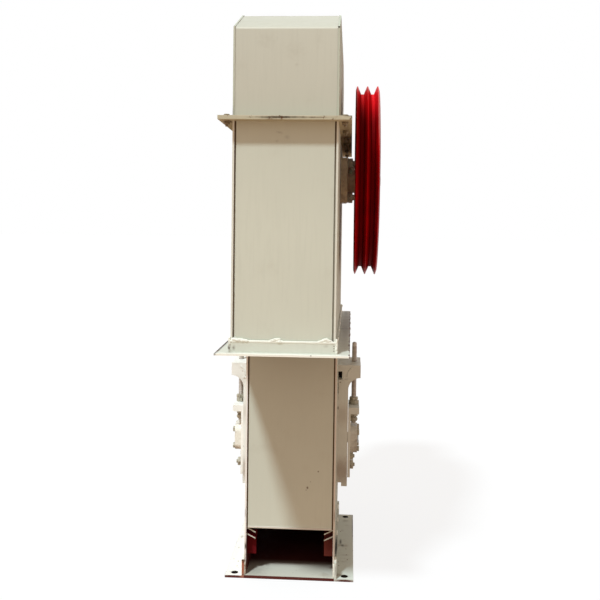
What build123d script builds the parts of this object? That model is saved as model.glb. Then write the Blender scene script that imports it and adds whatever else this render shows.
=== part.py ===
"""Small belt bucket elevator: a head with its cap, bolted straight on to its boot.

X points to the pulley side, -Y to the front, where the head overhangs the boot, and +Z up.
The origin is the centre of the floor plate's underside, on the ground. Millimetres.
"""
from build123d import *
from math import cos, pi, sin, sqrt
import os

os.makedirs("parts", exist_ok=True)

# Sheet casing
casing_width = 160.0
wall = 3.0
seam = 2.5  # open joint between a panel and the side plates it stands between
panel_inset = 1.5  # panels stand back this far from the side plates' edges
cap_seam = 0.8
cap_inset = 0.6

# Feet: an angle along each side of the floor plate, with a hole near each end
foot_length = 334.0
foot_leg = 34.0
foot_upstand = 33.0
foot_thickness = 4.0
foot_hole_diameter = 12.0
foot_hole_from_end = 14.0
foot_hole_from_edge = 16.0
floor_thickness = 5.0

# Places along Y, from the front of the feet backwards
boot_setback = 6.0
head_overhang = 200.0
axle_from_boot_front = 170.0
axle_to_back = 256.0
back_slope_rise = 104.0  # the boot's back slopes at 45 degrees

# Heights
joint_height = 430.0
head_height = 350.0
axle_below_head_top = 69.0
boot_axle_height = 213.0
opening_top = 88.0

# Cap
cap_front_height = 135.0
cap_slope_rise = 41.0
cap_slope_run = 100.0

# Flanges
flange_thickness = 3.0
top_flange_projection = 20.0
joint_flange_projection = 22.0
joint_flange_upstand = 20.0
joint_bar = 11.0  # front bar of the boot's top flange, inside the casing
partition_height = 170.0

# Brackets inside the front opening: two slanted strips over an upright web
strip_thickness = 2.0
strip_reach = 16.0
strip_drop = 8.0
strip_length = 60.0
strip_spacing = 11.0
strip_gap = 0.4
bracket_web_bottom = 35.0
bracket_web_setback = 14.0

# Shafts and drums
shaft_diameter = 20.0
running_clearance = 0.05
shaft_hole_clearance = 6.0
drum_diameter = 170.0
drum_width = 120.0
drum_shell = 5.0
drum_disc = 6.0
drum_hub_diameter = 44.0

# Belt and buckets
belt_width = 112.0
belt_thickness = 4.0
belt_clearance = 0.3
bucket_count = 11
bucket_width = 104.0
bucket_projection = 62.0
bucket_height = 66.0
bucket_floor = 27.0
bucket_lip = 16.0
bucket_sheet = 2.0

# Head bearings, square flange type
bearing_square = 86.0
bearing_flange = 13.0
bearing_depth = 30.0
bearing_boss_diameter = 46.0
bearing_bolt_spacing = 64.0
bearing_bolt_hole = 11.0
bearing_corner = 12.0

# Drive pulley with two V grooves
pulley_diameter = 360.0
pulley_overlap = 4.0  # rim past the bearing's end, seen along X
pulley_face = 44.0
groove_pitch = 19.0
groove_depth = 15.0
groove_bottom_width = 5.0
ridge_width = 1.6
shoulder_drop = 7.0  # outer ridges slope down to the rim's faces by this much
rim_thickness = 7.0
web_thickness = 8.0
web_hole_count = 5
web_hole_diameter = 64.0
web_hole_circle = 190.0
hub_diameter = 60.0
hub_length = 32.0
hub_gap = 6.0  # bearing's end to the hub
shaft_past_hub = 8.0
shaft_past_bearing = 3.0

# Take-up of the boot shaft
takeup_travel = 40.0
guide_depth = 20.0
guide_web = 5.0
guide_lip = 14.0
guide_lip_thickness = 4.0
guide_half_span = 45.0
guide_tail = 14.0  # guides below the slide plates
guide_notch_height = 7.0
guide_notch_depth = 9.0
slide_clearance = 0.5
slide_thickness = 5.0
slide_half_width = 39.0
slide_tail = 43.0  # slide plate below the bearing housing
arm_gap = 29.0  # bearing housing to the arm above it
arm_reach = 21.0
arm_thickness = 12.0
housing_height = 50.0
housing_width = 60.0
housing_depth = 13.0
housing_corner = 14.0
housing_bolt_spacing_y = 44.0
housing_bolt_spacing_z = 32.0
housing_bolt_hole = 7.0
screw_diameter = 10.0
screw_clearance = 0.4
screw_gap = 4.0  # bearing housing to the screw's end
screw_past_lug = 38.0
lug_gap = 16.0  # arm to the lug's underside, past the travel
lug_depth = 43.0
lug_height = 24.0
lug_bridge = 10.0
lug_window_depth = 8.5
lug_window_top = 12.0
lug_step = 4.0  # outer end of the lug, above the guides' top

# Places worked out from the sizes above
half_width = casing_width / 2
half_inside = half_width - wall
half_panel = half_inside - seam
half_cover = half_inside - cap_seam
boot_front = boot_setback - foot_length / 2
head_front = boot_front - head_overhang
axle_y = boot_front + axle_from_boot_front
back = axle_y + axle_to_back
slope_foot = back - back_slope_rise
slope_top = floor_thickness + back_slope_rise
boot_top = joint_height - flange_thickness
head_bottom = joint_height + flange_thickness
head_top = head_bottom + head_height
head_axle_height = head_top - axle_below_head_top
cap_flange_bottom = head_top + flange_thickness
cap_bottom = cap_flange_bottom + flange_thickness
cap_shoulder = cap_bottom + cap_front_height
roof = cap_shoulder + cap_slope_rise
shaft_radius = shaft_diameter / 2
bearing_bore = shaft_radius + running_clearance
drum_radius = drum_diameter / 2
belt_inside = drum_radius + belt_clearance
belt_outside = belt_inside + belt_thickness
axle_distance = head_axle_height - boot_axle_height
guide_face = half_width + guide_depth
slide_face = guide_face + slide_clearance
housing_face = slide_face + slide_thickness
housing_end = housing_face + housing_depth
housing_top = boot_axle_height + housing_height / 2
slide_bottom = boot_axle_height - housing_height / 2 - slide_tail
slide_top = housing_top + arm_gap + arm_thickness
guide_bottom = slide_bottom - guide_tail
guide_top = slide_top + takeup_travel + lug_gap
lug_end = half_width + lug_depth
lug_notch = lug_end - guide_face
lug_bottom = guide_top + lug_step
lug_top = lug_bottom + lug_height
screw_x = slide_face + arm_reach / 2
screw_bottom = housing_top + screw_gap
screw_top = lug_top + screw_past_lug
pulley_near = half_width + bearing_depth - pulley_overlap
pulley_mid = pulley_near + pulley_face / 2
hub_near = half_width + bearing_depth + hub_gap
sides = (("left", -1), ("right", 1))


def save(piece, name):
    """Label one finished sub-part and write it as a STEP file of that name."""
    piece.part.label = name
    export_step(piece.part, "parts/" + name + ".step")


def axle_plane(height):
    """Plane along the axle: local x runs along X and local y upwards, both from the axle."""
    return Plane(origin=(0, axle_y, height), x_dir=(1, 0, 0), z_dir=(0, -1, 0))


def side_plane(x):
    """Plane across X at the given place: local x runs along Y and local y upwards."""
    return Plane.YZ.offset(x)


def outer_plane(x):
    """Plane across X that looks outwards on the side where x lies, centred on the axle's Y."""
    direction = 1 if x > 0 else -1
    return Plane(origin=(x, axle_y, 0), x_dir=(0, direction, 0), z_dir=(direction, 0, 0))


# Floor plate of the boot, between the feet
with BuildPart() as floor_plate:
    with BuildSketch(Plane.XY):
        Rectangle(casing_width, foot_length)
    extrude(amount=floor_thickness)
save(floor_plate, "floor_plate")

# Foot angles along the boot's sides
for side, sign in sides:
    foot_middle = sign * (half_width + foot_leg / 2)
    hole_x = sign * (half_width + foot_leg - foot_hole_from_edge)
    with BuildPart() as foot_angle:
        with BuildSketch(Plane.XY):
            with Locations((foot_middle, 0)):
                Rectangle(foot_leg, foot_length)
            with Locations((hole_x, 0)):
                with GridLocations(0, foot_length - 2 * foot_hole_from_end, 1, 2):
                    Circle(foot_hole_diameter / 2, mode=Mode.SUBTRACT)
        extrude(amount=foot_thickness)
        with BuildSketch(Plane.XY.offset(foot_thickness)):
            with Locations((sign * (half_width + foot_thickness / 2), 0)):
                Rectangle(foot_thickness, foot_length)
        extrude(amount=foot_upstand - foot_thickness)
    save(foot_angle, "foot_angle_" + side)

# Boot side plates, with the upright slot that the boot shaft travels in
slot_half_width = shaft_radius + shaft_hole_clearance
for side, sign in sides:
    with BuildPart() as boot_side:
        with BuildSketch(side_plane(half_inside if sign > 0 else -half_width)):
            with BuildLine():
                Polyline(
                    (boot_front, floor_thickness),
                    (slope_foot, floor_thickness),
                    (back, slope_top),
                    (back, boot_top),
                    (boot_front, boot_top),
                    close=True,
                )
            make_face()
            with Locations((axle_y, boot_axle_height + takeup_travel / 2)):
                SlotCenterToCenter(takeup_travel, 2 * slot_half_width, rotation=90, mode=Mode.SUBTRACT)
        extrude(amount=wall)
    save(boot_side, "boot_side_" + side)

# Boot front panel, above the open front slot
with BuildPart() as boot_front_panel:
    with BuildSketch(side_plane(-half_panel)):
        with Locations((boot_front + panel_inset, opening_top)):
            Rectangle(wall, boot_top - opening_top, align=Align.MIN)
    extrude(amount=2 * half_panel)
save(boot_front_panel, "boot_front_panel")

# Boot back panel, upright, and the slope below it
with BuildPart() as boot_back_panel:
    with BuildSketch(side_plane(-half_panel)):
        with Locations((back - wall, slope_top)):
            Rectangle(wall, boot_top - slope_top, align=Align.MIN)
    extrude(amount=2 * half_panel)
save(boot_back_panel, "boot_back_panel")

with BuildPart() as boot_back_slope:
    with BuildSketch(side_plane(-half_panel)):
        with BuildLine():
            Polyline(
                (slope_foot, floor_thickness),
                (back, slope_top),
                (back - wall * sqrt(2), slope_top),
                (slope_foot - wall * sqrt(2), floor_thickness),
                close=True,
            )
        make_face()
    extrude(amount=2 * half_panel)
save(boot_back_slope, "boot_back_slope")

# Brackets inside the front opening, one on each side plate
strip_front = boot_front + panel_inset + wall + strip_gap
for side, sign in sides:
    bracket_inner = sign * (half_inside - strip_reach)
    with BuildPart() as inlet_bracket:
        with BuildSketch(Plane.XZ.offset(-strip_front)):
            for row in range(2):
                strip_z = opening_top - row * strip_spacing
                with BuildLine():
                    Polyline(
                        (sign * half_inside, strip_z),
                        (bracket_inner, strip_z - strip_drop),
                        (bracket_inner, strip_z - strip_drop - strip_thickness),
                        (sign * half_inside, strip_z - strip_thickness),
                        close=True,
                    )
                make_face()
        extrude(amount=-strip_length)
        with BuildSketch(Plane.XZ.offset(-strip_front - bracket_web_setback)):
            with BuildLine():
                Polyline(
                    (sign * half_inside, opening_top - strip_thickness / 2),
                    (bracket_inner, opening_top - strip_drop - strip_thickness / 2),
                    (bracket_inner, bracket_web_bottom),
                    (sign * half_inside, bracket_web_bottom),
                    close=True,
                )
            make_face()
        extrude(amount=-strip_thickness)
    save(inlet_bracket, "inlet_bracket_" + side)

# Boot top flange: an angle round both sides and the back, closed by a bar at the front
flange_reach = joint_flange_projection
bar_back = boot_front + joint_bar
with BuildPart() as boot_top_flange:
    with BuildSketch(Plane.XY.offset(boot_top)):
        with Locations((0, (boot_front + back + flange_reach) / 2)):
            Rectangle(casing_width + 2 * flange_reach, back + flange_reach - boot_front)
        with Locations((0, (bar_back + back - wall) / 2)):
            Rectangle(2 * half_inside, back - wall - bar_back, mode=Mode.SUBTRACT)
    extrude(amount=flange_thickness)
    with BuildSketch(Plane.XY.offset(boot_top)):
        with Locations((0, (boot_front + back + wall) / 2)):
            Rectangle(casing_width + 2 * wall, back + wall - boot_front)
        with Locations((0, (boot_front + back) / 2)):
            Rectangle(casing_width, back - boot_front, mode=Mode.SUBTRACT)
    extrude(amount=flange_thickness - joint_flange_upstand)
save(boot_top_flange, "boot_top_flange")

# Head side plates, with the shaft's hole
for side, sign in sides:
    with BuildPart() as head_side:
        with BuildSketch(side_plane(half_inside if sign > 0 else -half_width)):
            with Locations((head_front, head_bottom)):
                Rectangle(back - head_front, head_height, align=Align.MIN)
            with Locations((axle_y, head_axle_height)):
                Circle(shaft_radius + shaft_hole_clearance, mode=Mode.SUBTRACT)
        extrude(amount=wall)
    save(head_side, "head_side_" + side)

# Head front and back panels
with BuildPart() as head_front_panel:
    with BuildSketch(side_plane(-half_panel)):
        with Locations((head_front + panel_inset, head_bottom)):
            Rectangle(wall, head_height, align=Align.MIN)
    extrude(amount=2 * half_panel)
save(head_front_panel, "head_front_panel")

with BuildPart() as head_back_panel:
    with BuildSketch(side_plane(-half_panel)):
        with Locations((back - panel_inset - wall, head_bottom)):
            Rectangle(wall, head_height, align=Align.MIN)
    extrude(amount=2 * half_panel)
save(head_back_panel, "head_back_panel")

# Partition between the elevator leg and the discharge, above the boot's front panel
with BuildPart() as discharge_partition:
    with BuildSketch(side_plane(-half_panel)):
        with Locations((boot_front + panel_inset, joint_height)):
            Rectangle(wall, partition_height, align=Align.MIN)
    extrude(amount=2 * half_panel)
save(discharge_partition, "discharge_partition")

# Head bottom flange: an angle all round, upstand against the outside of the head
middle_y = (head_front + back) / 2
head_length = back - head_front
with BuildPart() as head_bottom_flange:
    with BuildSketch(Plane.XY.offset(joint_height)):
        with Locations((0, middle_y)):
            Rectangle(casing_width + 2 * joint_flange_projection, head_length + 2 * joint_flange_projection)
            Rectangle(2 * half_inside, head_length - 2 * (panel_inset + wall), mode=Mode.SUBTRACT)
    extrude(amount=flange_thickness)
    with BuildSketch(Plane.XY.offset(head_bottom)):
        with Locations((0, middle_y)):
            Rectangle(casing_width + 2 * wall, head_length + 2 * wall)
            Rectangle(casing_width, head_length, mode=Mode.SUBTRACT)
    extrude(amount=joint_flange_upstand - flange_thickness)
save(head_bottom_flange, "head_bottom_flange")

# Pair of flat flanges between the head and its cap
for name, height in (("head_top_flange", head_top), ("cap_flange", cap_flange_bottom)):
    with BuildPart() as flat_flange:
        with BuildSketch(Plane.XY.offset(height)):
            with Locations((0, middle_y)):
                Rectangle(casing_width + 2 * top_flange_projection, head_length + 2 * top_flange_projection)
                Rectangle(2 * half_inside, head_length - 2 * (panel_inset + wall), mode=Mode.SUBTRACT)
        extrude(amount=flange_thickness)
    save(flat_flange, name)

# Cap: two side plates with one bent cover plate between them
for side, sign in sides:
    with BuildPart() as cap_side:
        with BuildSketch(side_plane(half_inside if sign > 0 else -half_width)):
            with BuildLine():
                Polyline(
                    (head_front, cap_bottom),
                    (head_front, cap_shoulder),
                    (head_front + cap_slope_run, roof),
                    (back - cap_slope_run, roof),
                    (back, cap_shoulder),
                    (back, cap_bottom),
                    close=True,
                )
            make_face()
        extrude(amount=wall)
    save(cap_side, "cap_side_" + side)

with BuildPart() as cap_cover:
    with BuildSketch(side_plane(-half_cover)):
        with BuildLine():
            Polyline(
                (head_front + cap_inset, cap_bottom),
                (head_front + cap_inset, cap_shoulder - cap_inset),
                (head_front + cap_slope_run, roof - cap_inset),
                (back - cap_slope_run, roof - cap_inset),
                (back - cap_inset, cap_shoulder - cap_inset),
                (back - cap_inset, cap_bottom),
            )
            offset(amount=wall, side=Side.RIGHT, kind=Kind.INTERSECTION)
        make_face()
    extrude(amount=2 * half_cover)
save(cap_cover, "cap_cover")

# Head bearings
for side, sign in sides:
    with BuildPart() as head_bearing:
        with BuildSketch(outer_plane(sign * half_width)):
            with Locations((0, head_axle_height)):
                RectangleRounded(bearing_square, bearing_square, bearing_corner)
                with GridLocations(bearing_bolt_spacing, bearing_bolt_spacing, 2, 2):
                    Circle(bearing_bolt_hole / 2, mode=Mode.SUBTRACT)
        extrude(amount=bearing_flange)
        with BuildSketch(outer_plane(sign * (half_width + bearing_flange))):
            with Locations((0, head_axle_height)):
                Circle(bearing_boss_diameter / 2)
        extrude(amount=bearing_depth - bearing_flange)
        with BuildSketch(outer_plane(sign * half_width)):
            with Locations((0, head_axle_height)):
                Circle(bearing_bore)
        extrude(amount=bearing_depth, mode=Mode.SUBTRACT)
    save(head_bearing, "head_bearing_" + side)

# Belt, one fixed loop
with BuildPart() as bucket_belt:
    with BuildSketch(side_plane(-belt_width / 2)):
        with Locations((axle_y, (head_axle_height + boot_axle_height) / 2)):
            SlotCenterToCenter(axle_distance, 2 * belt_outside, rotation=90)
            SlotCenterToCenter(axle_distance, 2 * belt_inside, rotation=90, mode=Mode.SUBTRACT)
    extrude(amount=belt_width)
save(bucket_belt, "bucket_belt")


def belt_place(travel):
    """Angle round the drum, Y and Z of the belt's outside, at a distance along the loop.

    The loop starts at the boot axle's height on the back run, which climbs.
    """
    arc = pi * belt_outside
    if travel < axle_distance:
        return 0.0, axle_y + belt_outside, boot_axle_height + travel
    if travel < axle_distance + arc:
        turn = (travel - axle_distance) / belt_outside
        return turn, axle_y + belt_outside * cos(turn), head_axle_height + belt_outside * sin(turn)
    if travel < 2 * axle_distance + arc:
        return pi, axle_y - belt_outside, head_axle_height - (travel - axle_distance - arc)
    turn = pi + (travel - 2 * axle_distance - arc) / belt_outside
    return turn, axle_y + belt_outside * cos(turn), boot_axle_height + belt_outside * sin(turn)


# Buckets, open towards the way they travel
loop_length = 2 * axle_distance + 2 * pi * belt_outside
with BuildPart() as buckets:
    for number in range(bucket_count):
        turn, bucket_y, bucket_z = belt_place((number + 0.5) * loop_length / bucket_count)
        place = Plane(origin=(0, bucket_y, bucket_z), x_dir=(0, cos(turn), sin(turn)), z_dir=(1, 0, 0))
        with BuildSketch(place):
            with BuildLine():
                Polyline(
                    (0, bucket_height / 2),
                    (0, -bucket_height / 2),
                    (bucket_floor, -bucket_height / 2),
                    (bucket_projection, -bucket_height / 2 + bucket_projection - bucket_floor),
                    (bucket_projection, bucket_height / 2 - bucket_lip),
                    close=True,
                )
            make_face()
        extrude(amount=bucket_width / 2, both=True)
        with BuildSketch(place):
            with BuildLine():
                Polyline(
                    (bucket_sheet, bucket_height),
                    (bucket_sheet, bucket_sheet - bucket_height / 2),
                    (bucket_floor, bucket_sheet - bucket_height / 2),
                    (
                        bucket_projection - bucket_sheet,
                        bucket_projection - bucket_floor - bucket_height / 2,
                    ),
                    (bucket_projection - bucket_sheet, bucket_height),
                    close=True,
                )
            make_face()
        extrude(amount=bucket_width / 2 - bucket_sheet, both=True, mode=Mode.SUBTRACT)
save(buckets, "buckets")


def make_drum(height):
    """Hollow drum on two end discs with hubs, centred on the axle at the given height."""
    plane = axle_plane(height)
    axis = Axis((0, axle_y, height), (1, 0, 0))
    with BuildPart() as drum:
        with BuildSketch(plane):
            with BuildLine():
                Polyline(
                    (-drum_width / 2, shaft_radius),
                    (-drum_width / 2, drum_hub_diameter / 2),
                    (-drum_width / 2 + drum_disc, drum_hub_diameter / 2),
                    (-drum_width / 2 + drum_disc, drum_radius - drum_shell),
                    (-drum_width / 2, drum_radius - drum_shell),
                    (-drum_width / 2, drum_radius),
                    (drum_width / 2, drum_radius),
                    (drum_width / 2, drum_radius - drum_shell),
                    (drum_width / 2 - drum_disc, drum_radius - drum_shell),
                    (drum_width / 2 - drum_disc, drum_hub_diameter / 2),
                    (drum_width / 2, drum_hub_diameter / 2),
                    (drum_width / 2, shaft_radius),
                    (drum_width / 2 - 2 * drum_disc, shaft_radius),
                    (drum_width / 2 - 2 * drum_disc, drum_radius - drum_shell),
                    (2 * drum_disc - drum_width / 2, drum_radius - drum_shell),
                    (2 * drum_disc - drum_width / 2, shaft_radius),
                    close=True,
                )
            make_face()
        revolve(axis=axis)
    return drum


save(make_drum(head_axle_height), "head_drum")
save(make_drum(boot_axle_height), "boot_drum")

# Shafts
head_shaft_left = half_width + bearing_depth + shaft_past_bearing
head_shaft_right = hub_near + hub_length + shaft_past_hub
with BuildPart() as head_shaft:
    with BuildSketch(side_plane(-head_shaft_left)):
        with Locations((axle_y, head_axle_height)):
            Circle(shaft_radius)
    extrude(amount=head_shaft_left + head_shaft_right)
save(head_shaft, "head_shaft")

with BuildPart() as boot_shaft:
    with BuildSketch(side_plane(-housing_end - shaft_past_bearing)):
        with Locations((axle_y, boot_axle_height)):
            Circle(shaft_radius)
    extrude(amount=2 * (housing_end + shaft_past_bearing))
save(boot_shaft, "boot_shaft")

# Drive pulley: three ridges with two V grooves between them, on a web with round holes
pulley_radius = pulley_diameter / 2
rim_inside = pulley_radius - groove_depth - rim_thickness
groove_top_half = (groove_pitch - ridge_width) / 2
shoulder = pulley_radius - shoulder_drop
with BuildPart() as drive_pulley:
    with BuildSketch(axle_plane(head_axle_height)):
        with BuildLine():
            Polyline(
                (pulley_mid - pulley_face / 2, rim_inside),
                (pulley_mid - pulley_face / 2, shoulder),
                (pulley_mid - groove_pitch - ridge_width / 2, pulley_radius),
                (pulley_mid + groove_pitch + ridge_width / 2, pulley_radius),
                (pulley_mid + pulley_face / 2, shoulder),
                (pulley_mid + pulley_face / 2, rim_inside),
                close=True,
            )
        make_face()
        with Locations((pulley_mid, (rim_inside + hub_diameter / 2) / 2)):
            Rectangle(web_thickness, rim_inside - hub_diameter / 2)
        with Locations((hub_near + hub_length / 2, (hub_diameter / 2 + shaft_radius) / 2)):
            Rectangle(hub_length, hub_diameter / 2 - shaft_radius)
        for groove in (-0.5, 0.5):
            groove_x = pulley_mid + groove * groove_pitch
            with BuildLine():
                Polyline(
                    (groove_x - groove_top_half, pulley_radius),
                    (groove_x - groove_bottom_width / 2, pulley_radius - groove_depth),
                    (groove_x + groove_bottom_width / 2, pulley_radius - groove_depth),
                    (groove_x + groove_top_half, pulley_radius),
                    close=True,
                )
            make_face(mode=Mode.SUBTRACT)
    revolve(axis=Axis((0, axle_y, head_axle_height), (1, 0, 0)))
    with BuildSketch(outer_plane(pulley_mid - web_thickness / 2)):
        with Locations((0, head_axle_height)):
            with PolarLocations(web_hole_circle / 2, web_hole_count):
                Circle(web_hole_diameter / 2)
    extrude(amount=web_thickness, mode=Mode.SUBTRACT)
save(drive_pulley, "drive_pulley")

# Take-up guides: a pair of upright angles on each boot side, lips turned inwards
for side, sign in sides:
    with BuildPart() as takeup_guides:
        for web_front in (axle_y - guide_half_span - guide_web, axle_y + guide_half_span):
            with BuildSketch(Plane.XZ.offset(-web_front)):
                with BuildLine():
                    Polyline(
                        (sign * half_width, guide_top),
                        (sign * half_width, guide_bottom + guide_notch_height),
                        (sign * (half_width + guide_notch_depth), guide_bottom + guide_notch_height),
                        (sign * (half_width + guide_notch_depth), guide_bottom),
                        (sign * guide_face, guide_bottom),
                        (sign * guide_face, guide_top),
                        close=True,
                    )
                make_face()
            extrude(amount=-guide_web)
        for edge in (-1, 1):
            lip_middle = axle_y + edge * (guide_half_span - guide_lip / 2)
            with BuildSketch(Plane.XY.offset(guide_bottom + guide_notch_height)):
                with Locations((sign * (guide_face - guide_lip_thickness / 2), lip_middle)):
                    Rectangle(guide_lip_thickness, guide_lip)
            extrude(amount=guide_top - guide_bottom - guide_notch_height)
    save(takeup_guides, "takeup_guides_" + side)

# Take-up lugs: a bridge with the screw's hole between two cheeks, welded on the guides
cheek_fronts = (axle_y - guide_half_span - guide_web, axle_y + guide_half_span)
for side, sign in sides:
    with BuildPart() as takeup_lug:
        for cheek_front in cheek_fronts:
            with BuildSketch(Plane.XZ.offset(-cheek_front)):
                with BuildLine():
                    Polyline(
                        (sign * guide_face, lug_bottom - lug_notch),
                        (sign * guide_face, guide_top),
                        (sign * (half_width + lug_window_depth), guide_top),
                        (sign * (half_width + lug_window_depth), lug_top - lug_window_top),
                        (sign * half_width, lug_top - lug_window_top),
                        (sign * half_width, lug_top),
                        (sign * lug_end, lug_top),
                        (sign * lug_end, lug_bottom),
                    )
                    RadiusArc(
                        (sign * lug_end, lug_bottom),
                        (sign * guide_face, lug_bottom - lug_notch),
                        -sign * lug_notch,
                    )
                make_face()
            extrude(amount=-guide_web)
        with BuildSketch(Plane.XY.offset(lug_top - lug_bridge)):
            with Locations((sign * (half_width + lug_end) / 2, axle_y)):
                Rectangle(lug_end - half_width, 2 * guide_half_span)
            with Locations((sign * screw_x, axle_y)):
                Circle(screw_diameter / 2 + screw_clearance, mode=Mode.SUBTRACT)
        extrude(amount=lug_bridge)
    save(takeup_lug, "takeup_lug_" + side)

# Slide plates with the arm that the screw holds
for side, sign in sides:
    with BuildPart() as takeup_slide:
        with BuildSketch(outer_plane(sign * slide_face)):
            with Locations((0, (slide_bottom + slide_top) / 2)):
                Rectangle(2 * slide_half_width, slide_top - slide_bottom)
            with Locations((0, boot_axle_height)):
                Circle(shaft_radius + shaft_hole_clearance, mode=Mode.SUBTRACT)
        extrude(amount=slide_thickness)
        with BuildSketch(Plane.XY.offset(slide_top - arm_thickness)):
            with Locations((sign * (slide_face + arm_reach / 2), axle_y)):
                Rectangle(arm_reach, 2 * slide_half_width)
                Circle(screw_diameter / 2, mode=Mode.SUBTRACT)
        extrude(amount=arm_thickness)
    save(takeup_slide, "takeup_slide_" + side)

# Boot bearing housings on the slide plates
for side, sign in sides:
    with BuildPart() as boot_bearing:
        with BuildSketch(outer_plane(sign * housing_face)):
            with Locations((0, boot_axle_height)):
                RectangleRounded(housing_width, housing_height, housing_corner)
                Circle(bearing_bore, mode=Mode.SUBTRACT)
                with GridLocations(housing_bolt_spacing_y, housing_bolt_spacing_z, 2, 2):
                    Circle(housing_bolt_hole / 2, mode=Mode.SUBTRACT)
        extrude(amount=housing_depth)
    save(boot_bearing, "boot_bearing_" + side)

# Take-up screws
for side, sign in sides:
    with BuildPart() as takeup_screw:
        with BuildSketch(Plane.XY.offset(screw_bottom)):
            with Locations((sign * screw_x, axle_y)):
                Circle(screw_diameter / 2)
        extrude(amount=screw_top - screw_bottom)
    save(takeup_screw, "takeup_screw_" + side)
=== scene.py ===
"""Dresses the bucket elevator: paint, weld beads, fastenings, pulley enamel, studio and camera.

Metres, in the frame of the solids: X towards the drive pulley, -Y to the front, +Z up.
"""
from __future__ import annotations

import logging
import math
import random
from dataclasses import dataclass
from enum import Enum
from functools import cached_property
from itertools import product
from typing import Iterable, Mapping, Optional, Sequence, Union

import bmesh
import bpy
from mathutils import Matrix, Vector


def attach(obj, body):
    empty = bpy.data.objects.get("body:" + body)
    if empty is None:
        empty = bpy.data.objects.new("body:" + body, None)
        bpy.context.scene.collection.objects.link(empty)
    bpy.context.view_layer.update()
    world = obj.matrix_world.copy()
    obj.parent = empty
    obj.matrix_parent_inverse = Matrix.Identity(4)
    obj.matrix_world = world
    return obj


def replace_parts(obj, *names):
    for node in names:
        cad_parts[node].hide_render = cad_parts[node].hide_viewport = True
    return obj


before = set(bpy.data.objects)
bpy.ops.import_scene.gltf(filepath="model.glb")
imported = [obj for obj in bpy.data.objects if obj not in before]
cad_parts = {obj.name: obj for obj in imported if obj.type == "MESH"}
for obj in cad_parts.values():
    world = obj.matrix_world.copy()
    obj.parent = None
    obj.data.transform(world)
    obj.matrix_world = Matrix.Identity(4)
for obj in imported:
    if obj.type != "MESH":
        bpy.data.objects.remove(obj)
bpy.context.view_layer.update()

log = logging.getLogger("bucket_elevator")

Colour = tuple[float, float, float]
Point = tuple[float, float, float]
Socket = bpy.types.NodeSocket
Value = Union[float, Socket]

UP = Vector((0.0, 0.0, 1.0))
DOWN = Vector((0.0, 0.0, -1.0))
ACROSS: Point = (1.0, 0.0, 0.0)
BACKWARDS: Point = (0.0, 1.0, 0.0)

# Sizes of the solids that several sub-assemblies share.
HALF_WIDTH = 0.080
BOOT_FRONT = -0.161
HEAD_FRONT = -0.361
BACK = 0.265
AXLE_Y = 0.009
HEAD_AXLE = 0.714
BOOT_AXLE = 0.213
SHAFT_RADIUS = 0.010
SHARP_FROM = math.radians(32)

# Colours of the paint, and radii of the painted light along a plate's front edge.
PRIMER_RED: Colour = (0.085, 0.016, 0.012)
DUSTY_PRIMER: Colour = (0.15, 0.06, 0.045)
RUST: Colour = (0.13, 0.045, 0.016)
CREAM: Colour = (0.565, 0.575, 0.478)
WHITE: Colour = (1.0, 1.0, 1.0)
SPECK: Colour = (0.10, 0.045, 0.025)
EDGE_REACH: Point = (0.0080, 0.0040, 0.6000)


class Body(Enum):
    """The bodies that a piece can ride on."""

    HOUSING = "housing"
    HEAD_ROTOR = "head_rotor"
    TAKEUP = "takeup"
    BOOT_ROTOR = "boot_rotor"


class Slot(Enum):
    """The material slots of the pieces that are made here."""

    CASING = "casing_paint"
    CASTING = "bearing_casting"
    STEEL = "bright_steel"


class Side(Enum):
    """The two long sides of the machine, by the sign of X."""

    LEFT = -1
    RIGHT = 1

    @property
    def label(self) -> str:
        """The side's name as it stands in piece names."""
        return self.name.lower()

    @property
    def out(self) -> Vector:
        """Direction that points outwards on this side."""
        return Vector((float(self.value), 0.0, 0.0))

    def at(self, x: float, y: float, z: float) -> Point:
        """A point on this side, given as it lies on the right."""
        return (self.value * x, y, z)


class Axis(Enum):
    """An axis of the object, as the index of its coordinate."""

    X = 0
    Y = 1
    Z = 2


def shaded(colour: Colour, factor: float) -> Colour:
    """The colour made lighter or darker by a factor."""
    return (colour[0] * factor, colour[1] * factor, colour[2] * factor)


def placed(name: str, data: bpy.types.ID) -> bpy.types.Object:
    """Adds an object to the scene.

    Args:
        name: its name.
        data: its mesh, lamp or camera.

    Returns:
        The object.
    """
    item = bpy.data.objects.new(name, data)
    bpy.context.scene.collection.objects.link(item)
    return item


def standing(origin: Sequence[float], axis: Vector, turn: float = 0.0) -> Matrix:
    """Place for a shape built along +Z: its origin, the direction that its +Z takes and its turn about that."""
    lean = Vector(axis).to_track_quat("Z", "Y").to_matrix().to_4x4()
    return Matrix.Translation(Vector(origin)) @ lean @ Matrix.Rotation(turn, 4, "Z")


# Shapes


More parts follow.
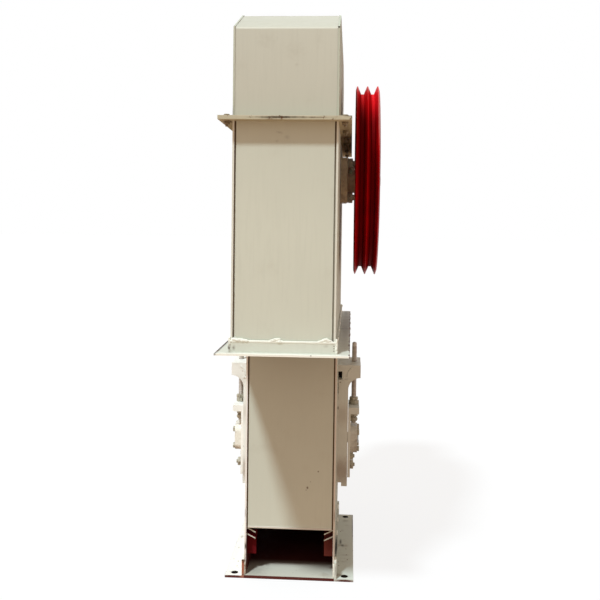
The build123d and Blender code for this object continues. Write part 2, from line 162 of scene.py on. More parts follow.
class Shape:
    """One piece being shaped with bmesh operators."""

    # The drops of a weld bead: their distance, half length and greatest shift in widths of the bead.
    DROP_STEP, DROP_HALF, DROP_SHIFT = 0.34, 0.7, 0.07
    DROP_SWELL = (0.82, 1.15)
    DROP_TURN = 0.3

    def __init__(self) -> None:
        """Starts an empty piece."""
        self.bm = bmesh.new()

    def add(self, part: bmesh.types.BMesh, place: Optional[Matrix] = None) -> None:
        """Closes a part's doubles, turns its faces outwards and joins it to the piece.

        Args:
            part: the part, which is freed.
            place: where it goes, or None if it is in place.
        """
        bmesh.ops.remove_doubles(part, verts=part.verts, dist=1e-6)
        bmesh.ops.recalc_face_normals(part, faces=part.faces)
        if place is not None:
            bmesh.ops.transform(part, matrix=place, space=Matrix(), verts=part.verts)
        mesh = bpy.data.meshes.new("part")
        part.to_mesh(mesh)
        part.free()
        self.bm.from_mesh(mesh)
        bpy.data.meshes.remove(mesh)

    def turned(self, profile: Sequence[tuple[float, float]], place: Matrix, steps: int) -> None:
        """Turns a profile about its axis.

        Args:
            profile: pairs of radius and height along the axis, from one end to the other.
            place: where the turned part goes.
            steps: flats around the turn.
        """
        part = bmesh.new()
        chain = [part.verts.new((radius, 0.0, height)) for radius, height in profile]
        edges = [part.edges.new(pair) for pair in zip(chain, chain[1:])]
        bmesh.ops.spin(
            part, geom=chain + edges, cent=(0, 0, 0), axis=(0, 0, 1), angle=math.tau, steps=steps,
            use_merge=True, use_duplicate=False,
        )
        self.add(part, place)

    def hexagon(self, radius: float, height: float, place: Matrix, chamfer: float) -> None:
        """A nut or a bolt's head, with its rims broken.

        Args:
            radius: distance from the axis to a corner.
            height: length along the axis.
            place: where the middle of its lower face goes.
            chamfer: width of the broken rims.
        """
        part = bmesh.new()
        bmesh.ops.create_cone(
            part, cap_ends=True, cap_tris=False, segments=6, radius1=radius, radius2=radius, depth=height
        )
        bmesh.ops.translate(part, vec=(0, 0, height / 2), verts=part.verts)
        rims = [e for e in part.edges if abs(e.verts[0].co.z - e.verts[1].co.z) < 1e-9]
        self.bevel(part, rims, chamfer, 2)
        self.add(part, place)

    def block(self, low: Point, high: Point, rounding: float, segments: int = 2) -> None:
        """A block between two corners, with its edges rounded."""
        part = bmesh.new()
        bmesh.ops.create_cube(part, size=1.0)
        bmesh.ops.scale(part, vec=Vector(high) - Vector(low), verts=part.verts)
        bmesh.ops.translate(part, vec=(Vector(high) + Vector(low)) / 2, verts=part.verts)
        self.bevel(part, part.edges[:], rounding, segments)
        self.add(part)

    def blob(self, centre: Sequence[float], radii: Sequence[float], turn: float = 0.0) -> None:
        """A flattened drop of weld metal."""
        part = bmesh.new()
        bmesh.ops.create_icosphere(part, subdivisions=2, radius=1.0)
        bmesh.ops.scale(part, vec=Vector(radii), verts=part.verts)
        self.add(part, Matrix.Translation(Vector(centre)) @ Matrix.Rotation(turn, 4, "Z"))

    def bead(self, start: Point, end: Point, width: float, height: float, seed: int) -> None:
        """A run of overlapping drops of weld between two points.

        Args:
            start: where the run starts.
            end: where it ends.
            width: width across the run.
            height: how far it stands out.
            seed: seed of its unevenness.
        """
        rng = random.Random(seed)
        a, b = Vector(start), Vector(end)
        run = b - a
        count = max(3, round(run.length / (width * self.DROP_STEP)))
        for number in range(count):
            spot = a + run * ((number + 0.5) / count)
            swell = rng.uniform(*self.DROP_SWELL)
            spread = Vector([max(abs(c) / run.length * width * self.DROP_HALF, height) for c in run])
            jitter = Vector([rng.uniform(-self.DROP_SHIFT, self.DROP_SHIFT) * width for _ in range(3)])
            self.blob(spot + jitter, spread * swell, rng.uniform(-self.DROP_TURN, self.DROP_TURN))

    def beads(self, starts: Iterable[Point], run: Point, width: float, height: float, seed: int) -> None:
        """Several runs of weld of the same length.

        Args:
            starts: where each one starts.
            run: way from its start to its end.
            width: width across the run.
            height: how far it stands out.
            seed: seed of the first; the others count up from it.
        """
        for number, (x, y, z) in enumerate(starts):
            self.bead((x, y, z), (x + run[0], y + run[1], z + run[2]), width, height, seed + number)

    @staticmethod
    def bevel(part: bmesh.types.BMesh, edges: Iterable[bmesh.types.BMEdge], offset: float, segments: int) -> None:
        """Rounds the given edges of a part."""
        bmesh.ops.bevel(
            part, geom=list(edges), offset=offset, offset_type="OFFSET", segments=segments, profile=0.5,
            affect="EDGES", material=-1, clamp_overlap=True,
        )

    def finish(self, name: str, finish: Finish, slot: Slot, body: Body = Body.HOUSING) -> bpy.types.Object:
        """Makes the shape an object that rides on a body.

        Args:
            name: the piece's name.
            finish: its surface.
            slot: the material slot that its finish belongs to; not used.
            body: what it moves with.

        Returns:
            The finished object.
        """
        for face in self.bm.faces:
            face.smooth = True
        mesh = bpy.data.meshes.new(name)
        self.bm.to_mesh(mesh)
        self.bm.free()
        mesh.set_sharp_from_angle(angle=SHARP_FROM)
        mesh.materials.append(finish.material)
        piece = placed(name, mesh)
        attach(piece, body.value)
        log.info("%s: %d faces, rides on %s", name, len(mesh.polygons), body.value)
        return piece


# Finishes


class Board:
    """Lays out the nodes of one tree and hands back their sockets."""

    def __init__(self, tree: bpy.types.NodeTree, coordinates: str = "Object") -> None:
        """Starts on a tree, with the coordinates that its nodes read."""
        self.tree = tree
        self.place = self.node("TexCoord", {}).outputs[coordinates]
        self.split = self.node("SeparateXYZ", {0: self.place})

    def node(self, kind: str, inputs: Mapping[Union[int, str], Union[Value, Colour]],
             **settings: object) -> bpy.types.Node:
        """Adds a node.

        Args:
            kind: its type, without the common start of the name.
            inputs: what each named or numbered input is fed.
            settings: its other properties.

        Returns:
            The node.
        """
        node = self.tree.nodes.new("ShaderNode" + kind)
        for name, setting in settings.items():
            setattr(node, name, setting)
        for name, value in inputs.items():
            self.feed(value, node.inputs[name])
        return node

    def feed(self, value: Union[Value, Colour], target: Socket) -> None:
        """Links a socket to an input, or writes a plain value on it."""
        if isinstance(value, bpy.types.NodeSocket):
            self.tree.links.new(value, target)
        elif isinstance(value, tuple) and target.type == "RGBA":
            target.default_value = (*value, 1.0)
        else:
            target.default_value = value

    def math(self, operation: str, a: Value, b: Value = 0.0, clamp: bool = False) -> Socket:
        """One step of arithmetic."""
        return self.node("Math", {0: a, 1: b}, operation=operation, use_clamp=clamp).outputs[0]

    def times(self, a: Value, b: Value) -> Socket:
        """The product of two values."""
        return self.math("MULTIPLY", a, b)

    def along(self, axis: Axis) -> Socket:
        """The coordinate along one axis."""
        return self.split.outputs[axis.value]

    def blend(self, share: Value, a: bpy.types.Node, b: bpy.types.Node) -> bpy.types.Node:
        """Mixes two shaders: a where share is 0 and b where it is 1."""
        return self.node("MixShader", {0: share, 1: a.outputs[0], 2: b.outputs[0]})

    def seen(self) -> Socket:
        """A value that is 1 on rays from the camera, from gloss and through glass."""
        path = self.node("LightPath", {})
        first, *others = (path.outputs[f"Is {name} Ray"] for name in ("Camera", "Glossy", "Transmission"))
        for other in others:
            first = self.math("MAXIMUM", first, other)
        return first


class Desk(Board):
    """Lays out the nodes of one material of the object."""

    def __init__(self, name: str) -> None:
        """Starts a material with its shader and its Object coordinates."""
        self.material = bpy.data.materials.new(name)
        self.material.use_nodes = True
        super().__init__(self.material.node_tree)
        self.shader = self.tree.nodes["Principled BSDF"]

    def vector(self, operation: str, a: Value, b: Union[Point, Socket] = (0.0, 0.0, 0.0),
               output: str = "Vector") -> Socket:
        """One step of arithmetic with vectors."""
        return self.node("VectorMath", {0: a, 1: b}, operation=operation).outputs[output]

    def distance(self, first: Axis, a: float, second: Axis, b: float) -> Socket:
        """Distance from a line that runs along the third axis, through a and b on the other two."""
        squares = []
        for axis, centre in ((first, a), (second, b)):
            off = self.math("SUBTRACT", self.along(axis), centre)
            squares.append(self.times(off, off))
        return self.math("SQRT", self.math("ADD", *squares))

    def noise(self, scale: float, detail: float = 2.0, rough: float = 0.5, stretch: Optional[Point] = None) -> Socket:
        """Cloudy noise.

        Args:
            scale: waves per metre.
            detail: octaves.
            rough: how strong the finer octaves are.
            stretch: extra scale on each axis, such as for brush marks.

        Returns:
            Its value, about 0.5 on average.
        """
        place = self.place
        if stretch:
            place = self.node("Mapping", {"Scale": stretch, "Vector": place}).outputs[0]
        inputs = {"Scale": scale, "Detail": detail, "Roughness": rough, "Vector": place}
        return self.node("TexNoise", inputs).outputs[0]

    def cells(self, scale: float) -> Socket:
        """Distance to the nearest of many scattered points, in cell sizes."""
        return self.node("TexVoronoi", {"Scale": scale, "Vector": self.place}).outputs["Distance"]

    def span(self, value: Value, low: float, high: float, to_low: float = 0.0, to_high: float = 1.0) -> Socket:
        """Maps a range of values smoothly on to another one and clamps it."""
        inputs = {"Value": value, "From Min": low, "From Max": high, "To Min": to_low, "To Max": to_high}
        return self.node("MapRange", inputs, interpolation_type="SMOOTHSTEP").outputs[0]

    def mix(self, share: Value, a: Union[Socket, Colour], b: Union[Socket, Colour]) -> Socket:
        """Mixes two colours: a where share is 0 and b where it is 1."""
        return self.node("Mix", {0: share, 6: a, 7: b}, data_type="RGBA").outputs[2]

    def over(self, colour: Union[Socket, Colour], top: Union[Socket, Colour], mask: Socket, strength: float) -> Socket:
        """Lays a second colour over the first, where the mask is 1 and as strongly as told."""
        return self.mix(self.times(mask, strength), colour, top)

    def toned(self, tint: Colour, share: Value, low: float, high: float = 1.0) -> Socket:
        """A tint that varies between a darker and a lighter shade of itself."""
        return self.mix(share, shaded(tint, low), shaded(tint, high))

    def patch(self, centre: Point, radii: Point, ragged: float) -> Socket:
        """A mask that is 1 inside an ellipsoid, with a ragged edge."""
        scaled = self.vector("DIVIDE", self.vector("SUBTRACT", self.place, centre), radii)
        reach = self.vector("LENGTH", scaled, output="Value")
        wobble = self.times(self.noise(160.0, 4.0, 0.65), ragged)
        edge, core = 1.25 + ragged * 0.5, 0.45
        return self.span(self.math("ADD", reach, wobble), edge, core)

    def bump(self, *layers: tuple[Socket, float, float]) -> None:
        """Raises the surface by several heights.

        Args:
            layers: for each one its height, its strength and its depth in metres.
        """
        node: Optional[bpy.types.Node] = None
        for height, strength, depth in layers:
            below = {} if node is None else {"Normal": node.outputs[0]}
            node = self.node("Bump", {"Strength": strength, "Distance": depth, "Height": height, **below})
        if node is not None:
            self.feed(node.outputs[0], self.shader.inputs["Normal"])

    def surface(self, colour: Union[Socket, Colour], rough: Value, metal: Value = 0.0, specular: float = 0.5,
                tint: Colour = WHITE) -> None:
        """Sets the shader.

        Args:
            colour: base colour.
            rough: roughness.
            metal: share of metal.
            specular: strength of the highlights.
            tint: their colour.
        """
        self.feed(colour, self.shader.inputs["Base Color"])
        self.feed(rough, self.shader.inputs["Roughness"])
        self.feed(metal, self.shader.inputs["Metallic"])
        self.shader.inputs["Specular IOR Level"].default_value = specular
        self.shader.inputs["Specular Tint"].default_value = (*tint, 1.0)


@dataclass(frozen=True)
class Mark:
    """One smudge, speck or chip on the paint, where the real one shows, or a patch of painted light or shade."""

    centre: Point
    radii: Point
    colour: Colour
    strength: float = 1.0
    ragged: float = 1.0


Row = tuple[float, float, float, float, Colour, float, float]


def marks_on(axis: Axis, level: float, reach: float, *rows: Row) -> tuple[Mark, ...]:
    """Makes marks on a face that stands across an axis.

    Args:
        axis: the axis that the face stands across.
        level: where the face lies along it.
        reach: radius of the marks along it.
        rows: place and radii of each mark on the other two axes, its colour, strength and raggedness.

    Returns:
        The marks.
    """
    def filled(a: float, b: float, own: float) -> Point:
        """The two values with the axis's own one put in its place."""
        return {Axis.X: (own, a, b), Axis.Y: (a, own, b), Axis.Z: (a, b, own)}[axis]

    return tuple(Mark(filled(a, b, level), filled(wide, high, reach), *look) for a, b, wide, high, *look in rows)


@dataclass(frozen=True)
class Bore:
    """An upright hole whose wall and rim are painted dark: painted shade in the hole."""

    x: float
    y: float
    radius: float


@dataclass(frozen=True)
class Facing:
    """Which part of a sheet is left in primer: beyond a limit along one direction."""

    along: Point
    limit: float
    below: bool = False
    both_sides: bool = False
    blur: float = 0.00008


@dataclass(frozen=True)
class Rim:
    """Outline of a plate in plan, along which the paint is chipped."""

    half_width: float
    front: float
    back: float
    side_reach: float = 0.0035
    end_reach: float = 0.0015
    worn_from: float = 0.50


@dataclass(frozen=True)
class Finish:
    """A finish, whose material is made when the first piece asks for it."""

    name: str

    @cached_property
    def material(self) -> bpy.types.Material:
        """The finished material."""
        desk = Desk(self.name)
        self.lay(desk)
        return desk.material

    def lay(self, desk: Desk) -> None:
        """Lays the nodes, which each kind of finish does in its own way."""
        raise NotImplementedError


@dataclass(frozen=True)
class CreamEnamel(Finish):
    """Cream enamel brushed on sheet steel, with primer on its inner faces, stains and small rust, and marks that are
    partly painted light and shade.
    """

    tint: Colour = CREAM
    primed: tuple[Facing, ...] = ()
    rim: Optional[Rim] = None
    marks: tuple[Mark, ...] = ()
    stain: float = 0.25
    specks: float = 0.0
    bores: tuple[Bore, ...] = ()
    gloss: float = 0.25
    rough: tuple[float, float] = (0.42, 0.58)
    grime: Colour = (0.30, 0.235, 0.16)
    old_rust: Colour = (0.05, 0.028, 0.02)
    painted_bore_shade: Colour = (0.014, 0.009, 0.007)

    def lay(self, desk: Desk) -> None:
        """Lays the nodes of the paint."""
        mottle = desk.noise(42.0, 4.0, 0.6)
        brush = desk.noise(30.0, 3.0, 0.6, (8.0, 8.0, 0.5))
        colour = desk.toned(self.tint, desk.span(desk.noise(3.5, 3.0), 0.35, 0.68), 0.965, 1.02)
        colour = desk.mix(desk.span(brush, 0.45, 0.75, 0.0, 0.35), colour, shaded(self.tint, 0.93))
        grime = desk.times(desk.span(desk.noise(17.0, 6.0, 0.62), 0.52, 0.72), desk.span(mottle, 0.35, 0.7))
        colour = desk.over(colour, self.grime, grime, self.stain)
        if self.specks > 0.0:
            dots = desk.times(desk.span(desk.cells(95.0), 0.17, 0.10), desk.span(desk.noise(26.0, 2.0), 0.55, 0.62))
            colour = desk.over(colour, RUST, dots, self.specks)
        for mark in self.marks:
            patch = desk.patch(mark.centre, mark.radii, mark.ragged)
            colour = desk.over(colour, mark.colour, patch, mark.strength)
        if self.rim is not None:
            colour = desk.mix(self.chips(desk, self.rim), colour, desk.mix(mottle, RUST, self.old_rust))
        for facing in self.primed:
            colour = desk.mix(self.mask(desk, facing), colour, self.primer(desk))
        # Painted shade: the walls and rims of the bolt holes are darkened.
        for bore in self.bores:
            middle = desk.distance(Axis.X, bore.x, Axis.Y, bore.y)
            colour = desk.mix(desk.span(middle, bore.radius + 0.0007, bore.radius + 0.0002), colour, self.painted_bore_shade)
        desk.bump((desk.noise(9.0, 2.0), 0.35, 0.0016), (brush, 0.25, 0.00012), (desk.noise(650.0, 2.0), 0.18, 0.00008))
        desk.surface(colour, desk.span(mottle, 0.25, 0.8, *self.rough), specular=self.gloss)

    @staticmethod
    def primer(desk: Desk, tint: Colour = PRIMER_RED, dusty: Colour = DUSTY_PRIMER) -> Socket:
        """Red-oxide primer, unevenly dusty."""
        dust = desk.span(desk.noise(21.0, 5.0, 0.6), 0.45, 0.8, 0.0, 0.4)
        return desk.mix(dust, tint, dusty)

    @staticmethod
    def mask(desk: Desk, facing: Facing) -> Socket:
        """A mask that is 1 where the sheet is left in primer."""
        value = desk.vector("DOT_PRODUCT", desk.place, facing.along, "Value")
        if facing.both_sides:
            value = desk.math("ABSOLUTE", value)
        blur = -facing.blur if facing.below else facing.blur
        return desk.span(value, facing.limit - blur, facing.limit + blur)

    @staticmethod
    def chips(desk: Desk, rim: Rim) -> Socket:
        """A mask of chipped paint along a plate's outline."""
        across = desk.math("SUBTRACT", rim.half_width, desk.math("ABSOLUTE", desk.along(Axis.X)))
        front = desk.math("SUBTRACT", desk.along(Axis.Y), rim.front)
        rear = desk.math("SUBTRACT", rim.back, desk.along(Axis.Y))
        ends = desk.math("MINIMUM", front, rear)
        ragged = desk.span(desk.noise(58.0, 6.0, 0.7), rim.worn_from, rim.worn_from + 0.22)
        masks = [
            desk.span(desk.math("SUBTRACT", edge, desk.times(ragged, reach)), -0.00004, -0.0004)
            for edge, reach in ((across, rim.side_reach), (ends, rim.end_reach))
        ]
        return desk.math("MAXIMUM", *masks)


@dataclass(frozen=True)
class RedOxide(Finish):
    """Dull red-oxide primer, with cream overspray on the front edges where asked."""

    tint: Colour = PRIMER_RED
    dusty: Colour = DUSTY_PRIMER
    painted_front: Optional[float] = None

    def lay(self, desk: Desk) -> None:
        """Lays the nodes of the primer."""
        colour = CreamEnamel.primer(desk, self.tint, self.dusty)
        if self.painted_front is not None:
            front = desk.span(desk.along(Axis.Y), self.painted_front + 0.0012, self.painted_front + 0.0006)
            colour = desk.mix(front, colour, shaded(CREAM, 0.9))
        desk.bump((desk.noise(420.0, 3.0, 0.6), 0.3, 0.00015))
        desk.surface(colour, desk.span(desk.noise(60.0), 0.3, 0.7, 0.62, 0.78), specular=0.1)


@dataclass(frozen=True)
class OverpaintedCasting(Finish):
    """Cast iron under the casing's paint, grainy, with dirt and oil where it collects."""

    tint: Colour = (0.74, 0.65, 0.45)
    dirt: float = 0.4

    def lay(self, desk: Desk) -> None:
        """Lays the nodes of the casting's finish."""
        grain = desk.noise(230.0, 5.0, 0.65)
        cloud = desk.noise(48.0, 5.0, 0.6)
        colour = desk.toned(self.tint, desk.span(grain, 0.3, 0.75), 0.9, 1.05)
        colour = desk.over(colour, (0.16, 0.105, 0.06), desk.span(cloud, 0.5, 0.68), self.dirt)
        bare = desk.span(desk.noise(95.0, 6.0, 0.7), 0.66, 0.70)
        colour = desk.over(colour, (0.07, 0.05, 0.04), bare, 0.8)
        desk.bump((grain, 0.45, 0.0004), (cloud, 0.3, 0.0006))
        desk.surface(colour, desk.span(cloud, 0.3, 0.7, 0.60, 0.42), specular=0.3)


@dataclass(frozen=True)
class PulleyEnamel(Finish):
    """Glossy deep red enamel on a machined cast pulley, chipped, with painted light and shade: lighter paint towards
    the top, a painted highlight high on the right, a painted sheen on the right shoulder and painted shade in the
    grooves.
    """

    tint: Colour = (0.42, 0.0012, 0.0025)
    fresh: Colour = (0.66, 0.0030, 0.0060)
    painted_highlight: Colour = (0.74, 0.0090, 0.0160)
    chips: tuple[tuple[Point, Point], ...] = (
        ((0.1384, -0.1545, 0.6541), (0.0030, 0.0040, 0.0042)),
        ((0.1422, -0.1490, 0.6349), (0.0026, 0.0040, 0.0050)),
    )
    crest: float = 0.180
    groove: float = 0.165

    def lay(self, desk: Desk) -> None:
        """Lays the nodes of the enamel."""
        cloud = desk.noise(24.0, 4.0, 0.6)
        colour = desk.toned(self.tint, desk.span(cloud, 0.35, 0.7), 0.75)
        radius = desk.distance(Axis.Y, AXLE_Y, Axis.Z, HEAD_AXLE)
        depth = desk.span(radius, self.crest - 0.001, self.groove + 0.001)
        # Painted shade: the bottoms of the grooves are darkened.
        painted_groove_shade = desk.times(depth, desk.span(radius, self.groove - 0.004, self.groove))
        colour = desk.over(colour, (0.075, 0.0004, 0.0010), painted_groove_shade, 0.75)
        height = desk.along(Axis.Z)
        # Painted light: the paint is lighter towards the top, and a painted highlight lies high on the right.
        colour = desk.over(colour, self.fresh, desk.span(height, 0.81, 0.90), 0.8)
        right = desk.times(desk.span(desk.along(Axis.X), 0.130, 0.140), desk.span(height, 0.80, 0.88))
        colour = desk.over(colour, self.painted_highlight, right, 0.9)
        # A painted sheen, pinkish, on the right shoulder.
        painted_sheen = desk.patch((0.1495, -0.125, 0.835), (0.0040, 0.110, 0.085), 0.3)
        colour = desk.over(colour, (0.55, 0.28, 0.25), painted_sheen, 0.55)
        for place, size in self.chips:
            colour = desk.mix(desk.patch(place, size, 0.7), colour, (0.42, 0.17, 0.14))
        stray = desk.span(desk.noise(120.0, 6.0, 0.75), 0.73, 0.76)
        colour = desk.over(colour, (0.12, 0.05, 0.04), stray, 0.6)
        desk.bump((desk.noise(75.0, 3.0), 0.25, 0.00035), (desk.noise(520.0, 2.0), 0.12, 0.00006))
        rough = desk.math("ADD", desk.span(cloud, 0.3, 0.75, 0.30, 0.42), desk.times(depth, 0.28))
        desk.surface(colour, rough, metal=0.12, specular=0.07, tint=(1.0, 0.25, 0.27))


@dataclass(frozen=True)
class TurnedSteel(Finish):
    """Turned steel, dulled, with fine rings across its axis and a little brown rust."""

    tint: Colour = (0.46, 0.44, 0.41)
    rings: Point = (900.0, 1.0, 1.0)
    rust: float = 0.35
    metal: float = 0.95

    def lay(self, desk: Desk) -> None:
        """Lays the nodes of the steel."""
        ring = desk.noise(1.0, 2.0, 0.5, self.rings)
        cloud = desk.noise(70.0, 6.0, 0.65)
        colour = desk.toned(self.tint, desk.span(ring, 0.3, 0.7), 0.85)
        rusty = desk.times(desk.span(cloud, 0.5, 0.7), self.rust)
        colour = desk.mix(rusty, colour, (0.19, 0.085, 0.035))
        desk.bump((ring, 0.2, 0.00005), (cloud, 0.2, 0.0001))
        metal = desk.math("SUBTRACT", self.metal, rusty, clamp=True)
        desk.surface(colour, desk.span(cloud, 0.3, 0.7, 0.33, 0.55), metal=metal)


@dataclass(frozen=True)
class PaintedFastener(Finish):
    """Nuts and bolts brushed over with the casing's paint, worn to steel and rust."""

    tint: Colour = (0.47, 0.44, 0.34)
    worn: float = 0.6

    def lay(self, desk: Desk) -> None:
        """Lays the nodes of the worn paint."""
        patchy = desk.noise(190.0, 5.0, 0.65)
        cloud = desk.noise(60.0, 3.0)
        colour = desk.toned(self.tint, desk.span(cloud, 0.35, 0.65), 0.85)
        bare = desk.times(desk.span(patchy, 0.52, 0.62), self.worn)
        colour = desk.mix(bare, colour, desk.mix(cloud, (0.20, 0.12, 0.07), (0.13, 0.11, 0.10)))
        desk.bump((patchy, 0.3, 0.00025))
        desk.surface(colour, desk.span(patchy, 0.3, 0.7, 0.36, 0.6), metal=desk.times(bare, 0.5),
                     specular=0.3)


@dataclass(frozen=True)
class BeltRubber(Finish):
    """Black rubber cover with the print of its fabric and grey dust."""

    threads: float = 2600.0

    def lay(self, desk: Desk) -> None:
        """Lays the nodes of the rubber."""
        waves = (desk.math("SINE", desk.times(desk.along(axis), self.threads)) for axis in (Axis.X, Axis.Z))
        weave = desk.times(*waves)
        dust = desk.span(desk.noise(30.0, 5.0, 0.6), 0.42, 0.8, 0.0, 0.6)
        colour = desk.mix(dust, (0.016, 0.016, 0.017), (0.085, 0.075, 0.062))
        desk.bump((weave, 0.25, 0.0002), (desk.noise(300.0, 3.0), 0.2, 0.0001))
        desk.surface(colour, 0.82, specular=0.3)


@dataclass(frozen=True)
class BucketSteel(Finish):
    """Pressed grey steel, scuffed, with fine streaks."""

    def lay(self, desk: Desk) -> None:
        """Lays the nodes of the steel."""
        scuff = desk.noise(55.0, 6.0, 0.7, (1.0, 1.0, 0.25))
        colour = desk.mix(desk.span(scuff, 0.35, 0.7), (0.13, 0.125, 0.12), (0.24, 0.23, 0.215))
        rusty = desk.span(desk.noise(33.0, 6.0, 0.65), 0.56, 0.7, 0.0, 0.6)
        colour = desk.mix(rusty, colour, (0.15, 0.065, 0.03))
        desk.bump((scuff, 0.25, 0.0002))
        desk.surface(colour, desk.span(scuff, 0.3, 0.7, 0.42, 0.6), metal=0.55)


@dataclass(frozen=True)
class Brass(Finish):
    """Dull greenish brass of a grease nipple."""

    def lay(self, desk: Desk) -> None:
        """Lays the nodes of the brass."""
        cloud = desk.noise(260.0, 4.0)
        colour = desk.mix(desk.span(cloud, 0.35, 0.65), (0.46, 0.56, 0.40), (0.78, 0.78, 0.62))
        desk.surface(colour, 0.42, metal=0.25)


FASTENER = PaintedFastener("painted_fastener")
RUSTY = PaintedFastener("rusty_fastener", (0.26, 0.20, 0.12), 0.9)
WELD = CreamEnamel("weld_paint", (0.78, 0.78, 0.69), specks=0.2, marks=(
    Mark((-0.0815, -0.3640, 0.4395), (0.0060, 0.0100, 0.0090), (0.09, 0.070, 0.055), 0.95, 1.8),
    Mark((-0.0800, -0.1635, 0.0180), (0.0080, 0.0100, 0.0160), (0.30, 0.20, 0.16), 0.6, 1.8),
))
STEEL = TurnedSteel("turned_steel")
SCREW_STEEL = TurnedSteel("screw_steel", (0.60, 0.54, 0.48), (1.0, 1.0, 300.0), 0.30, 0.15)
CASTING = OverpaintedCasting("bearing_casting")
BRASS = Brass("nipple_brass")


def dress(node: str, finish: Finish) -> None:
    """Gives every material slot of a node of the solids one finish.

    Args:
        node: the node's name.
        finish: its finish.
    """
    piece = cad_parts[node]
    if not piece.data.materials:
        piece.data.materials.append(finish.material)
    for slot in piece.material_slots:
        slot.material = finish.material
    log.info("%s: dressed in %s", node, finish.name)


# Sub-assemblies


@dataclass
class Casing:
    """The sheets of the boot, head and cap."""

    wall: float = 0.003
    cap_bottom: float = 0.789
    cap_shoulder: float = 0.924
    roof: float = 0.965
    cap_slope_run: float = 0.100
    cover_half: float = 0.07695
    cover_inset: float = 0.0006
    bend_radius: float = 0.0036
    panel_inset: float = 0.0015
    slope_foot: float = 0.156
    panel_half: float = 0.0745
    seam_depth: float = 0.0018
    opening_top: float = 0.088

    def dress(self) -> None:
        """Paints all the sheets and fills their joints."""
        self.dress_boot()
        self.dress_head()
        self.dress_cap()
        self.seams()
        self.hem()

    def side_plate(self, part: str, side: Side, tint: Colour, marks: tuple[Mark, ...], stain: float,
                   specks: float = 0.0) -> None:
        """Paints a side plate outside and on its edges, and leaves its inside in primer.

        Args:
            part: the boot, head or cap.
            side: where the plate stands.
            tint: the paint's colour.
            marks: what marks it has.
            stain: how dirty it is.
            specks: how speckled with rust it is.
        """
        inside = Facing(ACROSS, HALF_WIDTH - self.wall + 0.0001, below=True, both_sides=True)
        dress(f"{part}_side_{side.label}", CreamEnamel(
            f"{part}_side_paint_{side.label}", tint, (inside,), marks=marks, stain=stain, specks=specks, gloss=0.12,
            rough=(0.52, 0.68),
        ))

    def panels(self, part: str, front: float, rear: float, marks: tuple[Mark, ...], stain: float) -> None:
        """Paints a front and a back panel outside.

        Args:
            part: the boot or the head.
            front: Y of the front panel's face.
            rear: Y of the back panel's face.
            marks: what marks the front panel has.
            stain: how dirty it is.
        """
        for end, facing, spots, dirt in (
            ("front", Facing(BACKWARDS, front + 0.5 * self.wall), marks, stain),
            ("back", Facing(BACKWARDS, rear - 0.5 * self.wall, below=True), (), 0.3),
        ):
            dress(f"{part}_{end}_panel", CreamEnamel(f"{part}_{end}_paint", primed=(facing,), marks=spots, stain=dirt))

    def dress_boot(self) -> None:
        """Paints the boot's sheets."""
        # Painted light: lighter paint along the side plates' front edges, brighter on the left.
        painted_edge_light = {Side.LEFT: ((0.90, 0.86, 0.80), 0.9), Side.RIGHT: ((0.72, 0.64, 0.56), 0.8)}
        toe = (
            Mark((-0.0785, BOOT_FRONT, 0.0560), (0.0024, 0.0060, 0.0075), (0.05, 0.035, 0.030), 0.95, 1.2),
            Mark((-0.0790, BOOT_FRONT, 0.0260), (0.0040, 0.0060, 0.0220), (0.26, 0.19, 0.165), 0.8, 1.2),
        )
        for side in Side:
            self.side_plate("boot", side, shaded(CREAM, 0.94), (
                Mark(side.at(0.0790, BOOT_FRONT, 0.250), EDGE_REACH, *painted_edge_light[side], 0.1),
                Mark(side.at(HALF_WIDTH, BOOT_FRONT, 0.060), (0.004, 0.004, 0.030), (0.25, 0.15, 0.10), 0.5),
                Mark(side.at(HALF_WIDTH, BOOT_FRONT, 0.115), (0.003, 0.003, 0.012), SPECK, 0.5),
                *marks_on(Axis.X, side.value * HALF_WIDTH, 0.004,
                          (-0.120, 0.045, 0.050, 0.012, (0.20, 0.13, 0.085), 0.6, 1.4),
                          (0.060, 0.040, 0.030, 0.010, (0.22, 0.15, 0.10), 0.5, 1.4)),
                *(toe if side is Side.LEFT else ()),
            ), 0.5, 0.35)
        self.panels("boot", BOOT_FRONT + self.panel_inset, BACK, marks_on(
            Axis.Y, BOOT_FRONT + self.panel_inset, 0.004,
            (0.0495, 0.1927, 0.0018, 0.0018, SPECK, 0.9, 0.8),
            (0.0307, 0.1632, 0.0022, 0.0026, SPECK, 0.95, 0.8),
            (0.0285, 0.1590, 0.0012, 0.0012, SPECK, 0.7, 0.8),
            (0.0360, 0.1740, 0.0010, 0.0010, SPECK, 0.6, 0.8),
        ), 0.12)
        under = Facing((0.0, 1.0, -1.0), self.slope_foot - 0.0021, below=True)
        dress("boot_back_slope", CreamEnamel("boot_slope_paint", stain=0.4, specks=0.3, primed=(under,)))
        dress("discharge_partition", RedOxide("partition_primer"))

    def dress_head(self) -> None:
        """Paints the head's sheets."""
        for side in Side:
            self.side_plate("head", side, shaded(CREAM, 0.95), (
                # Painted light along the plate's front edge.
                Mark(side.at(0.0790, HEAD_FRONT, 0.600), EDGE_REACH, (0.70, 0.69, 0.60), 0.8, 0.1),
                *marks_on(Axis.X, side.value * HALF_WIDTH, 0.004,
                          (-0.250, 0.4665, 0.060, 0.003, (0.12, 0.08, 0.05), 0.55, 1.6),
                          (-0.120, 0.505, 0.045, 0.004, (0.18, 0.13, 0.09), 0.5, 1.6),
                          (0.009, 0.675, 0.030, 0.055, (0.24, 0.17, 0.11), 0.5, 1.5)),
            ), 0.35, 0.15)
        grey = (0.25, 0.235, 0.19)
        self.panels("head", HEAD_FRONT + self.panel_inset, BACK - self.panel_inset, marks_on(
            Axis.Y, HEAD_FRONT + self.panel_inset, 0.004,
            (-0.0090, 0.7660, 0.0060, 0.0028, grey, 0.55, 1.8),
            (0.0020, 0.7590, 0.0050, 0.0040, grey, 0.40, 1.8),
            (-0.0130, 0.7530, 0.0040, 0.0022, grey, 0.35, 1.8),
        ), 0.10)

